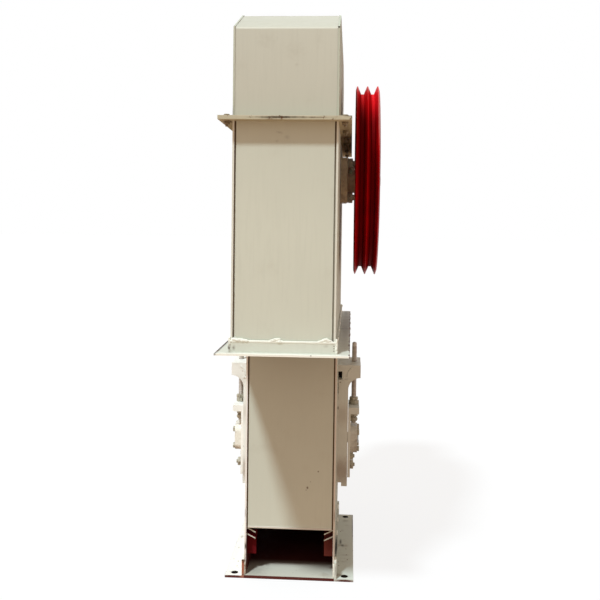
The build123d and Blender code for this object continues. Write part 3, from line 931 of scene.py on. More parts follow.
    def dress_cap(self) -> None:
        """Paints the cap's side plates and makes its bent cover with rounded bends."""
        scar = Mark((-0.0796, HEAD_FRONT, 0.795), (0.0009, 0.004, 0.0130), (0.12, 0.09, 0.08), 0.9, 0.4)
        self.side_plate("cap", Side.LEFT, (0.495, 0.515, 0.42), (scar,), 0.3)
        dent = (0.0785, HEAD_FRONT, self.cap_shoulder - 0.001)
        scar = Mark(dent, (0.0026, 0.006, 0.0022), (0.03, 0.02, 0.015), 0.95, 0.5)
        self.side_plate("cap", Side.RIGHT, (0.47, 0.495, 0.40), (scar,), 0.3)
        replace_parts(self.cover(), "cap_cover")

    def seams(self) -> None:
        """Fills the joints between the panels and the side plates, a little below their faces."""
        rear = BACK - self.panel_inset
        for name, front, low, high, tint in (
            ("boot", BOOT_FRONT + self.panel_inset, self.opening_top, 0.427, (0.16, 0.110, 0.065)),
            ("head", HEAD_FRONT + self.panel_inset, 0.433, 0.783, (0.30, 0.285, 0.215)),
        ):
            shape = Shape()
            for side in Side:
                near, far = sorted((side.value * self.panel_half, side.value * (HALF_WIDTH - self.wall)))
                for start, end, bottom in (
                    (front + self.seam_depth, front + 0.006, low),
                    (rear - 0.004, rear - self.seam_depth, max(low, 0.112)),
                ):
                    shape.block((near - 0.0001, start, bottom), (far + 0.0001, end, high), 0.0002, 1)
            # Painted shade: the head's seams are darker brown at their tops, under the flange.
            rusty = Mark((0.0, front, 0.783), (0.300, 0.030, 0.090), (0.13, 0.080, 0.045), 0.9, 0.3)
            putty = CreamEnamel(f"{name}_seam_filler", tint, stain=0.3, marks=(rusty,), gloss=0.1)
            shape.finish(f"{name}_seam_fillers", putty, Slot.CASING)

    def hem(self) -> None:
        """Rolls the lower edge of the boot's front panel."""
        shape = Shape()
        face = BOOT_FRONT + self.panel_inset
        low, high = (-self.panel_half, face - 0.0011, self.opening_top), (self.panel_half, face + 0.0008, 0.0915)
        shape.block(low, high, 0.0007, 3)
        shape.finish("boot_panel_hem", CreamEnamel("hem_paint", (0.60, 0.56, 0.48), stain=0.3), Slot.CASING)

    def cover(self) -> bpy.types.Object:
        """Bends the cap's cover from one strip of sheet.

        Returns:
            The cover.
        """
        front, rear = HEAD_FRONT + self.cover_inset, BACK - self.cover_inset
        top, shoulder = self.roof - self.cover_inset, self.cap_shoulder - self.cover_inset
        outline = (
            (front, self.cap_bottom), (front, shoulder), (HEAD_FRONT + self.cap_slope_run, top),
            (BACK - self.cap_slope_run, top), (rear, shoulder), (rear, self.cap_bottom),
        )
        part = bmesh.new()
        chain = [part.verts.new((-self.cover_half, y, z)) for y, z in outline]
        edges = [part.edges.new(pair) for pair in zip(chain, chain[1:])]
        grown = bmesh.ops.extrude_edge_only(part, edges=edges)["geom"]
        moved = [item for item in grown if isinstance(item, bmesh.types.BMVert)]
        bmesh.ops.translate(part, vec=(2 * self.cover_half, 0, 0), verts=moved)
        bmesh.ops.recalc_face_normals(part, faces=part.faces)
        upper = max(part.faces, key=lambda face: face.calc_center_median().z)
        if upper.normal.z < 0.0:
            bmesh.ops.reverse_faces(part, faces=part.faces[:])
        bends = [edge for edge in part.edges if len(edge.link_faces) == 2]
        Shape.bevel(part, bends, self.bend_radius, 4)
        bmesh.ops.solidify(part, geom=part.faces[:], thickness=self.wall)
        shape = Shape()
        shape.add(part)
        smear = (0.36, 0.33, 0.26)
        paint = CreamEnamel("cap_cover_paint", (0.500, 0.490, 0.405), stain=0.10, marks=(
            # A painted highlight along the bend of the shoulder.
            Mark((0.0, -0.3600, 0.9222), (0.400, 0.0060, 0.0020), (0.66, 0.66, 0.56), 0.45, 0.05),
            *marks_on(Axis.Y, -0.360, 0.005,
                      (-0.030, 0.902, 0.016, 0.014, smear, 0.32, 2.2), (0.012, 0.888, 0.018, 0.016, smear, 0.26, 2.2),
                      (0.0159, 0.867, 0.0045, 0.003, smear, 0.45, 1.8),
                      (0.0480, 0.905, 0.0060, 0.016, smear, 0.25, 2.2)),
            Mark((-0.024, -0.2625, 0.9645), (0.036, 0.0030, 0.0022), (0.06, 0.055, 0.05), 0.9, 0.3),
        ))
        return shape.finish("cap_cover_bent", paint, Slot.CASING)


def threaded(radius: float, end: float, pitch: float) -> list[tuple[float, float]]:
    """Profile of a threaded end, as rings with a broken tip.

    Args:
        radius: radius over the thread.
        end: where its tip is.
        pitch: distance between crests.

    Returns:
        The profile, closed on the axis at both ends.
    """
    depth = pitch * 0.5
    points = [(0.0, 0.0)]
    height = 0.0
    while height < end - 1.5 * pitch:
        points += [(radius - depth, height), (radius, height + 0.5 * pitch)]
        height += pitch
    points += [(radius - depth, height), (radius - depth, end - 0.3 * pitch), (radius - 1.6 * depth, end), (0.0, end)]
    return points


@dataclass
class CapBolts:
    """The hexagon bolts with nuts and washers through the cap's pair of flanges."""

    top: float = 0.789
    bottom: float = 0.783
    across_flats: float = 0.008
    head_height: float = 0.0035
    nut_height: float = 0.0040
    chamfer: float = 0.0007
    shank_radius: float = 0.0025
    shank_end: float = 0.003
    pitch: float = 0.0010
    washer_radius: float = 0.0050
    washer_height: float = 0.0012
    row_half: float = 0.0898
    row_start: float = -0.355
    row_end: float = 0.240
    spacing: float = 0.115
    rear: tuple[tuple[float, float], ...] = ((-0.060, 0.2755), (0.0, 0.2755), (0.060, 0.2755))

    def build(self) -> None:
        """Makes the bolts along both sides and across the back."""
        rng = random.Random(5)
        shape = Shape()
        corner = self.across_flats / math.sqrt(3.0)
        inner, outer, thick = self.shank_radius, self.washer_radius, self.washer_height
        washer = ((inner, 0.0), (outer, 0.0), (outer, thick), (inner, thick))
        thread = threaded(inner, self.nut_height + thick + self.shank_end, self.pitch)
        count = int((self.row_end - self.row_start) / self.spacing) + 1
        rows = [(side.value * self.row_half, self.row_start + n * self.spacing) for side in Side for n in range(count)]
        for x, y in (*rows, *self.rear):
            shape.turned(washer, standing((x, y, self.top), UP), 24)
            shape.turned(washer, standing((x, y, self.bottom), DOWN), 24)
            head = standing((x, y, self.top + thick), UP, rng.uniform(0.0, math.pi))
            nut = standing((x, y, self.bottom - thick), DOWN, rng.uniform(0.0, math.pi))
            shape.hexagon(corner, self.head_height, head, self.chamfer)
            shape.hexagon(corner, self.nut_height, nut, self.chamfer)
            shape.turned(thread, standing((x, y, self.bottom), DOWN), 16)
        shape.finish("cap_flange_bolts", RUSTY, Slot.STEEL)


@dataclass
class Flanges:
    """The pairs of flanges between boot, head and cap, with their welds."""

    top_half: float = 0.100
    top_front: float = -0.381
    top_back: float = 0.285
    joint_half: float = 0.102
    joint_front: float = -0.383
    joint_back: float = 0.287
    joint_height: float = 0.430
    upstand_top: float = 0.450
    upstand_front: float = -0.3628
    upstand_half: float = 0.0825
    seam_bead: tuple[float, float] = (0.0046, 0.0018)
    rim_bead: tuple[float, float] = (0.0042, 0.0012)

    def dress(self) -> None:
        """Paints the flanges, with chipped and rusty rims, painted highlights along their front edges and painted shade
        under the top flanges' wings and on the joint's right wing.
        """
        front, dark, blot = self.top_front, (0.055, 0.035, 0.025), (0.06, 0.040, 0.025)
        edge_marks_and_painted_light = (
            Mark((-0.004, front, 0.7862), (0.046, 0.0060, 0.0024), (0.022, 0.012, 0.007), 1.0, 1.1),
            Mark((0.060, front, 0.7889), (0.016, 0.0030, 0.0010), dark, 0.5, 1.2),
            # Painted shade on the wings' undersides, with a darker patch at the left front.
            *marks_on(Axis.Z, 0.783, 0.0012,
                      (0.091, -0.060, 0.0115, 0.330, (0.17, 0.125, 0.080), 0.85, 0.5),
                      (-0.091, -0.060, 0.0115, 0.330, (0.17, 0.125, 0.080), 0.6, 0.5)),
            Mark((-0.0860, -0.352, 0.783), (0.0060, 0.022, 0.0020), (0.05, 0.025, 0.012), 0.9, 1.0),
            Mark((0.045, front, 0.7860), (0.026, 0.0060, 0.0014), (0.10, 0.065, 0.040), 0.8, 1.4),
            # A painted highlight along the front face's top arris, and a dark chip.
            *marks_on(Axis.Y, front, 0.0040,
                      (0.0, 0.7890, 0.120, 0.0012, (0.66, 0.64, 0.52), 0.7, 0.3),
                      (0.094, 0.7889, 0.009, 0.0012, dark, 0.9, 0.8)),
            Mark((0.0995, front, 0.7870), (0.0012, 0.0030, 0.0030), dark, 0.8, 0.6),
        )
        top_rim = Rim(self.top_half, self.top_front, self.top_back, 0.0030, 0.0007)
        for node in ("head_top_flange", "cap_flange"):
            dress(node, CreamEnamel(f"{node}_paint", (0.490, 0.455, 0.330), rim=top_rim, stain=0.7, specks=0.5,
                                    gloss=0.0, rough=(0.7, 0.85), marks=edge_marks_and_painted_light))
        joint_rim = Rim(self.joint_half, self.joint_front, self.joint_back, 0.0034, -0.0010, 0.40)
        # Painted highlight along the front edge of the joint's flanges.
        bright = Mark((0.0, self.joint_front, 0.4312), (0.260, 0.0130, 0.0045), (0.84, 0.84, 0.75), 1.0, 0.1)
        joint_marks_and_painted_light = (
            bright,
            Mark((0.0439, -0.3835, 0.4330), (0.0016, 0.003, 0.0016), (0.09, 0.04, 0.025), 0.95, 0.6),
            Mark((-0.0835, -0.364, 0.4420), (0.0050, 0.006, 0.0070), (0.11, 0.080, 0.06), 0.9, 2.6),
            Mark((-0.0800, -0.370, 0.4350), (0.0070, 0.010, 0.0040), (0.14, 0.110, 0.08), 0.8, 2.6),
            Mark((-0.0745, -0.364, 0.4390), (0.0030, 0.006, 0.0050), (0.14, 0.11, 0.08), 0.85, 2.0),
            Mark((0.0660, -0.364, 0.4450), (0.0060, 0.003, 0.0030), (0.30, 0.27, 0.21), 0.5, 2.2),
            # The joint's right wing is darkened: streaky dirt and painted shade of the head above it.
            Mark((0.0935, 0.0600, 0.4332), (0.0125, 0.3700, 0.004), (0.26, 0.225, 0.180), 0.8, 0.4),
            *marks_on(Axis.Z, 0.4333, 0.002,
                      (0.0870, -0.0480, 0.0045, 0.0050, blot, 0.95, 1.0),
                      (0.0940, -0.0380, 0.0050, 0.0045, blot, 0.95, 1.0),
                      (0.0930, 0.2450, 0.0060, 0.0500, (0.13, 0.095, 0.075), 0.7, 2.0)),
            Mark((-0.1012, -0.2900, 0.4335), (0.0036, 0.1700, 0.006), (0.016, 0.012, 0.012), 1.0, 0.6),
            Mark((-0.0930, -0.2400, 0.4330), (0.0060, 0.0100, 0.002), (0.30, 0.22, 0.15), 0.4, 2.0),
            *marks_on(Axis.Y, -0.364, 0.003, *(
                (0.0777, 0.4375 + 0.0037 * n, 0.0013, 0.0011, (0.14, 0.10, 0.07), 0.9, 0.4) for n in range(4)
            )),
        )
        dress("head_bottom_flange", CreamEnamel(
            "head_bottom_flange_paint", (0.60, 0.605, 0.52), rim=joint_rim, stain=0.35, specks=0.25, gloss=0.15,
            marks=joint_marks_and_painted_light,
        ))
        # Its front edge carries the same painted highlight.
        dress("boot_top_flange", CreamEnamel(
            "boot_top_flange_paint", shaded(CREAM, 0.9), rim=joint_rim, stain=0.6, specks=0.5, gloss=0.12,
            marks=(bright,),
        ))

    def welds(self) -> None:
        """Runs the weld beads along the upstand of the head's flange, at its corners and around the joint."""
        shape = Shape()
        top, front = self.upstand_top, self.upstand_front
        half = self.upstand_half
        shape.block((-half, -0.3646, top - 0.0024), (half, -0.3608, top + 0.0014), 0.0013, 3)
        runs = (
            ((-0.0750, 0.0016), (-0.0560, 0.0010), 0.0086, 0.0028),
            ((-0.0185, 0.0004), (-0.0055, 0.0044), 0.0068, 0.0022),
            ((-0.0070, -0.0002), (-0.0010, -0.0012), 0.0070, 0.0026),
            ((0.0550, 0.0004), (0.0640, 0.0044), 0.0066, 0.0021),
            ((0.0640, 0.0044), (0.0735, 0.0006), 0.0070, 0.0022),
        )
        for number, ((start, low), (end, high), width, height) in enumerate(runs):
            shape.bead((start, front, top + low), (end, front, top + high), width, height, 20 + number)
        for side in Side:
            rows = [side.at(half + 0.0001, y, top) for y in (-0.330, -0.220, -0.110, 0.0, 0.110, 0.220)]
            shape.beads(rows, (0.0, 0.018, 0.0), *self.seam_bead, 40)
            shape.beads([side.at(0.0815, -0.3632, 0.4340)], (0.0, 0.0, 0.0195), 0.0052, 0.0020, 60)
        shape.beads([(x, 0.2672, top) for x in (-0.063, -0.008, 0.047)], (0.016, 0.0, 0.0), 0.0050, 0.0018, 70)
        rim, level = self.joint_half - 0.0004, self.joint_height
        for side in Side:
            rows = [side.at(rim, y, level) for y in (-0.120, -0.030, 0.060, 0.150, 0.235)]
            shape.beads(rows, (0.0, 0.022, 0.0), *self.rim_bead, 120)
        rows = [(x, self.joint_back - 0.0006, level) for x in (-0.070, -0.010, 0.050)]
        shape.beads(rows, (0.020, 0.0, 0.0), *self.rim_bead, 140)
        shape.finish("joint_flange_welds", WELD, Slot.CASING)


@dataclass
class Feet:
    """The floor plate and the foot angles, welded along the boot's sides."""

    half_width: float = 0.114
    front: float = -0.167
    back: float = 0.167
    hole: tuple[float, float, float] = (0.098, 0.153, 0.006)
    upstand_top: float = 0.033
    side_bead: tuple[float, float] = (0.0056, 0.0024)
    front_bead: tuple[float, float] = (0.0046, 0.0018)

    def dress(self) -> None:
        """Paints the feet, stained and chipped, with the front edge in dark red primer, and painted light and shade:
        dark bolt holes, a dark gap by the right upstand, a lighter left foot and a floor plate that darkens further in.
        """
        bare_rust = (0.030, 0.018, 0.012)
        own_marks = {
            Side.RIGHT: (
                *self.stains(
                    (0.0980, 0.1270, 0.0090, 0.0080, (0.11, 0.085, 0.065), 0.75, 1.6),
                    (0.1000, 0.1020, 0.0090, 0.0050, (0.22, 0.17, 0.12), 0.55, 1.8),
                    (0.0918, 0.0713, 0.0050, 0.0060, (0.22, 0.17, 0.12), 0.7, 1.4),
                ),
                Mark((0.0895, 0.0110, 0.005), (0.0030, 0.0170, 0.003), bare_rust, 0.95, 0.9),
                Mark((0.0935, -0.0090, 0.005), (0.0040, 0.0080, 0.003), bare_rust, 0.95, 0.9),
                *self.stains(
                    (0.0995, -0.0560, 0.0110, 0.0040, (0.22, 0.18, 0.14), 0.6, 1.6),
                    (0.0980, -0.0720, 0.0110, 0.0030, (0.24, 0.20, 0.15), 0.6, 1.6),
                    (0.0970, -0.0880, 0.0100, 0.0030, (0.24, 0.20, 0.15), 0.5, 1.6),
                ),
                Mark((0.1132, 0.1000, 0.003), (0.0016, 0.0900, 0.004), (0.13, 0.095, 0.100), 0.9, 0.8),
                Mark((0.0990, self.front, 0.0015), (0.0200, 0.0014, 0.0030), PRIMER_RED, 1.0, 0.3),
                # Painted shade in the gap between the right upstand and the side wall, on its top and its front.
                Mark((0.0820, -0.0900, 0.0332), (0.0034, 0.0620, 0.0060), (0.016, 0.010, 0.007), 1.0, 0.5),
                Mark((0.0825, self.front, 0.0200), (0.0009, 0.0030, 0.0120), (0.12, 0.06, 0.04), 0.8, 1.0),
            ),
            Side.LEFT: (
                *self.stains(
                    (-0.1073, 0.0180, 0.0040, 0.0090, (0.20, 0.13, 0.10), 0.8, 1.0),
                    (-0.1060, -0.0380, 0.0022, 0.0060, (0.24, 0.17, 0.13), 0.8, 0.8),
                    (-0.0982, -0.1040, 0.0020, 0.0045, (0.20, 0.14, 0.11), 0.8, 0.8),
                    (-0.0975, -0.1250, 0.0020, 0.0045, (0.24, 0.17, 0.13), 0.7, 0.8),
                ),
                Mark((-0.098, self.front, 0.0015), (0.030, 0.0016, 0.0050), PRIMER_RED, 1.0, 0.1),
                Mark((-0.0820, self.front, 0.0200), (0.0080, 0.0020, 0.0300), (0.36, 0.130, 0.075), 1.0, 0.4),
            ),
        }
        rim = Rim(self.half_width, self.front, self.back, 0.0022, 0.0010)
        x, y, radius = self.hole
        # Painted light: the left foot is painted much lighter than the right one, as lit and shaded copies of one
        # paint; the right one is also dirtier.
        for side, tint, stain, specks, gloss in (
            (Side.LEFT, (0.84, 0.83, 0.76), 0.15, 0.5, 0.25),
            (Side.RIGHT, (0.58, 0.605, 0.535), 0.9, 0.9, 0.08),
        ):
            around_holes = self.stains(
                (0.100 * side.value, -0.1520, 0.0115, 0.0060, (0.10, 0.055, 0.035), 0.8, 1.2),
                (0.096 * side.value, 0.1530, 0.0105, 0.0060, (0.12, 0.075, 0.050), 0.6, 1.4),
            )
            dress(f"foot_angle_{side.label}", CreamEnamel(
                f"foot_paint_{side.label}", tint, rim=rim, stain=stain, specks=specks, gloss=gloss,
                bores=tuple(Bore(side.value * x, end * y, radius) for end in (-1, 1)),
                marks=(*around_holes, *own_marks[side]),
            ))
        # The floor plate fades into dark primer further in: primer, and painted shade of the boot's inside.
        edge, bare = Facing(BACKWARDS, self.front + 0.0006, below=True), Facing(BACKWARDS, -0.108, blur=0.022)
        # Painted shade: a darker patch on the floor plate near the left front.
        painted_floor_shade = Mark((-0.066, -0.135, 0.005), (0.030, 0.050, 0.003), (0.34, 0.31, 0.26), 0.6, 0.8)
        dress("floor_plate", CreamEnamel(
            "floor_plate_paint", (0.61, 0.59, 0.49), (edge, bare), marks=(painted_floor_shade,), stain=0.5, specks=0.3, gloss=0.15,
        ))

    @staticmethod
    def stains(*rows: Row) -> tuple[Mark, ...]:
        """Makes marks on the feet's upper face."""
        return marks_on(Axis.Z, 0.005, 0.002, *rows)

    def welds(self) -> None:
        """Runs weld beads where the upstands meet the boot's sides and the floor plate."""
        shape = Shape()
        for side in Side:
            for number, (start, end) in enumerate(((-0.160, -0.144), (-0.030, -0.012), (0.040, 0.060), (0.115, 0.140))):
                run = (0.0, end - start, 0.0)
                shape.beads([side.at(0.0815, start, self.upstand_top)], run, *self.side_bead, 80 + number)
            shape.beads([side.at(0.0795, self.front + 0.0036, 0.007)], (0.0, 0.0, 0.021), *self.front_bead, 90)
        shape.finish("foot_welds", WELD, Slot.CASING)


@dataclass
class HeadBearing:
    """A square flange bearing of the head shaft: cast housing, ring, studs with nuts and nipple."""

    side: Side
    square: float = 0.086
    flange: float = 0.013
    depth: float = 0.030
    boss_radius: float = 0.023
    corner: float = 0.012
    bolt_offset: float = 0.032
    bore: float = 0.01005
    ring_radius: float = 0.0150
    washer_radius: float = 0.0098
    washer_height: float = 0.0018
    nut_half: float = 0.0085
    nut_height: float = 0.0078
    stud_radius: float = 0.005
    stud_reach: float = 0.0135
    pitch: float = 0.0015

    def build(self) -> None:
        """Makes the bearing's pieces."""
        label = self.side.label
        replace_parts(self.housing().finish(f"head_bearing_housing_{label}", CASTING, Slot.CASTING),
                    f"head_bearing_{label}")
        self.studs().finish(f"head_bearing_nuts_{label}", FASTENER, Slot.STEEL)
        self.ring().finish(f"head_bearing_ring_{label}", STEEL, Slot.STEEL)
        self.nipple().finish(f"head_bearing_nipple_{label}", BRASS, Slot.STEEL)

    def housing(self) -> Shape:
        """The cast flange with its rounded corners and domed boss."""
        part = bmesh.new()
        bmesh.ops.create_cube(part, size=1.0)
        bmesh.ops.scale(part, vec=(self.square, self.square, self.flange), verts=part.verts)
        bmesh.ops.translate(part, vec=(0, 0, self.flange / 2), verts=part.verts)
        uprights = [e for e in part.edges if abs(e.verts[0].co.z - e.verts[1].co.z) > 1e-6]
        Shape.bevel(part, uprights, self.corner, 6)
        rims = [e for e in part.edges if e.verts[0].co.z > self.flange - 1e-6 and e.verts[1].co.z > self.flange - 1e-6
                and len(e.link_faces) == 2 and abs(e.link_faces[0].normal.z - e.link_faces[1].normal.z) > 0.5]
        Shape.bevel(part, rims, 0.0038, 5)
        shape = Shape()
        shape.add(part, self.place())
        r, base, end, bore = self.boss_radius, self.flange, self.depth, self.bore
        boss = (
            (bore, 0.006), (r + 0.008, 0.006), (r + 0.008, base - 0.0005), (r + 0.0035, base + 0.001),
            (r + 0.0008, base + 0.0035), (r, base + 0.006), (r, end - 0.0035), (r - 0.0012, end - 0.0012),
            (r - 0.0040, end - 0.0005), (r - 0.0055, end - 0.0012), (r - 0.0062, end - 0.0040),
            (bore + 0.0045, end - 0.0040), (bore, end - 0.0040), (bore, 0.006),
        )
        shape.turned(boss, self.place(), 48)
        return shape

    def place(self) -> Matrix:
        """Place on the bearing's axis, on the casing's face."""
        return standing(self.side.at(HALF_WIDTH, AXLE_Y, HEAD_AXLE), self.side.out)

    def studs(self) -> Shape:
        """Washers, nuts and stud ends at the flange's corners."""
        rng = random.Random(11 + self.side.value)
        shape = Shape()
        inner, outer, thick = self.stud_radius, self.washer_radius, self.washer_height
        for dy, dz in product((-self.bolt_offset, self.bolt_offset), repeat=2):
            base = self.side.at(HALF_WIDTH + self.flange, AXLE_Y + dy, HEAD_AXLE + dz)
            place = standing(base, self.side.out, rng.uniform(0.0, math.pi))
            shape.turned(((inner, 0.0), (outer, 0.0), (outer, thick), (inner, thick)), place, 28)
            raised = standing((base[0] + self.side.value * thick, base[1], base[2]), self.side.out,
                              rng.uniform(0.0, math.pi))
            shape.hexagon(self.nut_half / math.cos(math.pi / 6), self.nut_height, raised, 0.0015)
            shape.turned(threaded(inner, self.stud_reach, self.pitch), place, 20)
        return shape

    def ring(self) -> Shape:
        """The inner ring that stands out of the boss."""
        shape = Shape()
        outer, start, end, bore = self.ring_radius, self.depth - 0.010, self.depth + 0.0008, self.bore
        rim = ((outer, end - 0.0008), (outer - 0.0008, end))
        shape.turned(((bore, start), (outer, start), *rim, (bore, end), (bore, start)), self.place(), 40)
        return shape

    def nipple(self) -> Shape:
        """The grease nipple on top of the boss."""
        shape = Shape()
        lean = Vector((0.10 * self.side.value, -0.66, 0.75)).normalized()
        reach = self.boss_radius - 0.0012
        base = self.side.at(HALF_WIDTH + 0.0205, AXLE_Y - 0.717 * reach, HEAD_AXLE + 0.697 * reach)
        shape.hexagon(0.0062, 0.0050, standing(base, lean), 0.0008)
        profile = ((0.0, 0.0), (0.0040, 0.0), (0.0040, 0.0064), (0.0027, 0.0074), (0.0026, 0.0094), (0.0042, 0.0110),
                   (0.0040, 0.0134), (0.0017, 0.0150), (0.0, 0.0150))
        shape.turned(profile, standing(base, lean), 20)
        return shape


@dataclass
class DrivePulley:
    """The two-groove pulley, keyed on the head shaft."""

    hub_middle: float = 0.132
    hub_half: float = 0.016
    hub_radius: float = 0.030
    key_half: float = 0.003

    def build(self) -> None:
        """Paints the pulley and makes its key and grub screw."""
        dress("drive_pulley", PulleyEnamel("pulley_enamel"))
        key = Shape()
        end, top = self.hub_middle + self.hub_half, HEAD_AXLE + SHAFT_RADIUS
        low = (end - 0.004, AXLE_Y - self.key_half, top - 0.0025)
        key.block(low, (end + 0.0035, AXLE_Y + self.key_half, top + 0.0028), 0.0004)
        key.finish("pulley_key", STEEL, Slot.STEEL, Body.HEAD_ROTOR)
        screw = Shape()
        base = (self.hub_middle + 0.010, AXLE_Y, HEAD_AXLE - self.hub_radius + 0.001)
        screw.turned(((0.0, 0.0), (0.0038, 0.0), (0.0038, 0.0030), (0.0030, 0.0038), (0.0017, 0.0038), (0.0017, 0.0020),
                      (0.0, 0.0020)), standing(base, DOWN), 24)
        screw.finish("pulley_grub_screw", FASTENER, Slot.STEEL, Body.HEAD_ROTOR)


@dataclass
class Shafts:
    """The head shaft and the boot shaft, with broken ends and centre holes."""

    chamfer: float = 0.0012
    head_ends: tuple[float, float] = (-0.113, 0.156)
    boot_ends: tuple[float, float] = (-0.1215, 0.1215)

    def build(self) -> None:
        """Turns both shafts."""
        r, c = SHAFT_RADIUS, self.chamfer
        for name, node, height, (start, end), body in (
            ("head_shaft_turned", "head_shaft", HEAD_AXLE, self.head_ends, Body.HEAD_ROTOR),
            ("boot_shaft_turned", "boot_shaft", BOOT_AXLE, self.boot_ends, Body.BOOT_ROTOR),
        ):
            shape = Shape()
            length = end - start
            profile = ((0.0, 0.004), (0.0012, 0.0034), (0.0028, 0.0), (r - c, 0.0), (r, c), (r, length - c),
                       (r - c, length), (0.0028, length), (0.0012, length - 0.0034), (0.0, length - 0.004))
            shape.turned(profile, standing((start, AXLE_Y, height), Vector(ACROSS)), 48)
            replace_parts(shape.finish(name, STEEL, Slot.STEEL, body), node)


@dataclass
class TakeUp:
    """A screw take-up of the boot shaft: guides, slide plate, bearing, screw and nuts."""

    side: Side
    screw_x: float = 0.111
    screw_bottom: float = 0.242
    screw_top: float = 0.401
    screw_radius: float = 0.005
    arm_top: float = 0.279
    slide_face: float = 0.1055
    housing_end: float = 0.1185
    bolt_y: float = 0.022
    bolt_z: float = 0.016
    stud_y: float = 0.030
    stud_z: float = 0.168
    cheek: float = 0.0502
    window_x: tuple[float, float] = (0.0812, 0.0878)
    window_y: tuple[float, float] = (0.0400, 0.0496)
    window_z: tuple[float, float] = (0.3392, 0.3508)

    def build(self) -> None:
        """Dresses the take-up and makes its screw and fastenings."""
        label = self.side.label
        # Painted light: the left take-up and its bearing are painted lighter than the right ones, as lit and shaded
        # copies of one paint.
        if self.side is Side.RIGHT:
            tint, iron, stain = (0.68, 0.69, 0.63), (0.62, 0.60, 0.53), 0.6
        else:
            tint, iron, stain = (0.88, 0.875, 0.82), (0.80, 0.77, 0.68), 0.35
        x = self.side.value
        marks = marks_on(
            Axis.Y, -0.041, 0.010,
            (0.0810 * x, 0.318, 0.0013, 0.0220, (0.03, 0.028, 0.018), 0.9, 1.4),
            (0.0812 * x, 0.281, 0.0016, 0.0040, (0.03, 0.020, 0.014), 0.9, 0.8),
            (0.0900 * x, 0.160, 0.0300, 0.0300, (0.30, 0.21, 0.16), 0.6, 0.6),
            (0.0900 * x, 0.268, 0.0300, 0.0260, (0.42, 0.34, 0.27), 0.4, 0.8),
        )
        paint = CreamEnamel(f"takeup_paint_{label}", tint, stain=stain, specks=0.6, marks=marks, gloss=0.10)
        for node in ("takeup_guides_", "takeup_lug_", "takeup_slide_"):
            dress(node + label, paint)
        dress("boot_bearing_" + label, OverpaintedCasting(f"boot_bearing_paint_{label}", iron, dirt=0.5))
        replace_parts(self.screw().finish(f"takeup_screw_rod_{label}", SCREW_STEEL, Slot.STEEL, Body.TAKEUP),
                    "takeup_screw_" + label)
        self.nuts().finish(f"takeup_nuts_{label}", FASTENER, Slot.STEEL, Body.TAKEUP)
        self.bolts().finish(f"takeup_bolts_{label}", FASTENER, Slot.STEEL, Body.TAKEUP)
        self.lug_welds().finish(f"takeup_lug_welds_{label}", paint, Slot.CASING)
        # Painted shade: black blocks fill the two small windows below the lug.
        depth = CreamEnamel(f"takeup_window_paint_{label}", (0.004, 0.003, 0.003), stain=0.0, gloss=0.0)
        self.windows().finish(f"takeup_windows_{label}", depth, Slot.CASING)

    def on_screw(self, z: float, turn: float = 0.0) -> Matrix:
        """Place on the screw's axis, at a height."""
        return standing(self.side.at(self.screw_x, AXLE_Y, z), UP, turn)

    def screw(self) -> Shape:
        """The threaded rod with its rounded top."""
        shape = Shape()
        length = self.screw_top - self.screw_bottom
        profile = threaded(self.screw_radius, length - 0.006, 0.00175)[:-3]
        last = profile[-1][1]
        r = self.screw_radius - 0.0006
        profile += [(r, last + 0.0005), (r, length - 0.0022), (r - 0.0012, length - 0.0006), (r - 0.0028, length),
                    (0.0, length)]
        shape.turned(profile, self.on_screw(self.screw_bottom), 24)
        return shape

    def nuts(self) -> Shape:
        """The nut and locknut on the arm, and the rounded nut below it."""
        shape = Shape()
        corner, ball = 0.0078 / math.cos(math.pi / 6), 0.0062
        shape.hexagon(corner, 0.0082, self.on_screw(self.arm_top, 0.3), 0.0009)
        shape.hexagon(corner, 0.0058, self.on_screw(self.arm_top + 0.0084, 0.9), 0.0009)
        angles = [math.radians(degrees) for degrees in range(20, 161, 14)]
        round_side = [(0.0081 * math.sin(a), ball - ball * math.cos(a)) for a in angles]
        shape.turned([(0.0, 0.0), *round_side, (0.0, 2 * ball)], self.on_screw(0.2435), 28)
        shape.hexagon(0.0086, 0.0040, self.on_screw(0.2555, 0.2), 0.0006)
        return shape

    def bolts(self) -> Shape:
        """Bolts of the bearing housing and the studs low on the slide plate."""
        shape = Shape()
        rng = random.Random(31 + self.side.value)
        for dy, dz in product((-self.bolt_y, self.bolt_y), (-self.bolt_z, self.bolt_z)):
            base = self.side.at(self.housing_end, AXLE_Y + dy, BOOT_AXLE + dz)
            shape.hexagon(0.0058, 0.0040, standing(base, self.side.out, rng.uniform(0.0, math.pi)), 0.0006)
        for dy in (-self.stud_y, self.stud_y):
            base = self.side.at(self.slide_face, AXLE_Y + dy, self.stud_z)
            place = standing(base, self.side.out, rng.uniform(0.0, math.pi))
            shape.hexagon(0.0086, 0.0062, place, 0.0008)
            shape.turned(threaded(0.0040, 0.0090, 0.00125), place, 18)
        return shape

    def windows(self) -> Shape:
        """Black blocks in the two small windows below the lug, between the guides and the casing: painted shade of
        their depths.
        """
        shape = Shape()
        near, far = sorted(self.side.value * x for x in self.window_x)
        for sign in (-1, 1):
            low, high = sorted(AXLE_Y + sign * y for y in self.window_y)
            shape.block((near, low, self.window_z[0]), (far, high, self.window_z[1]), 0.0003)
        return shape

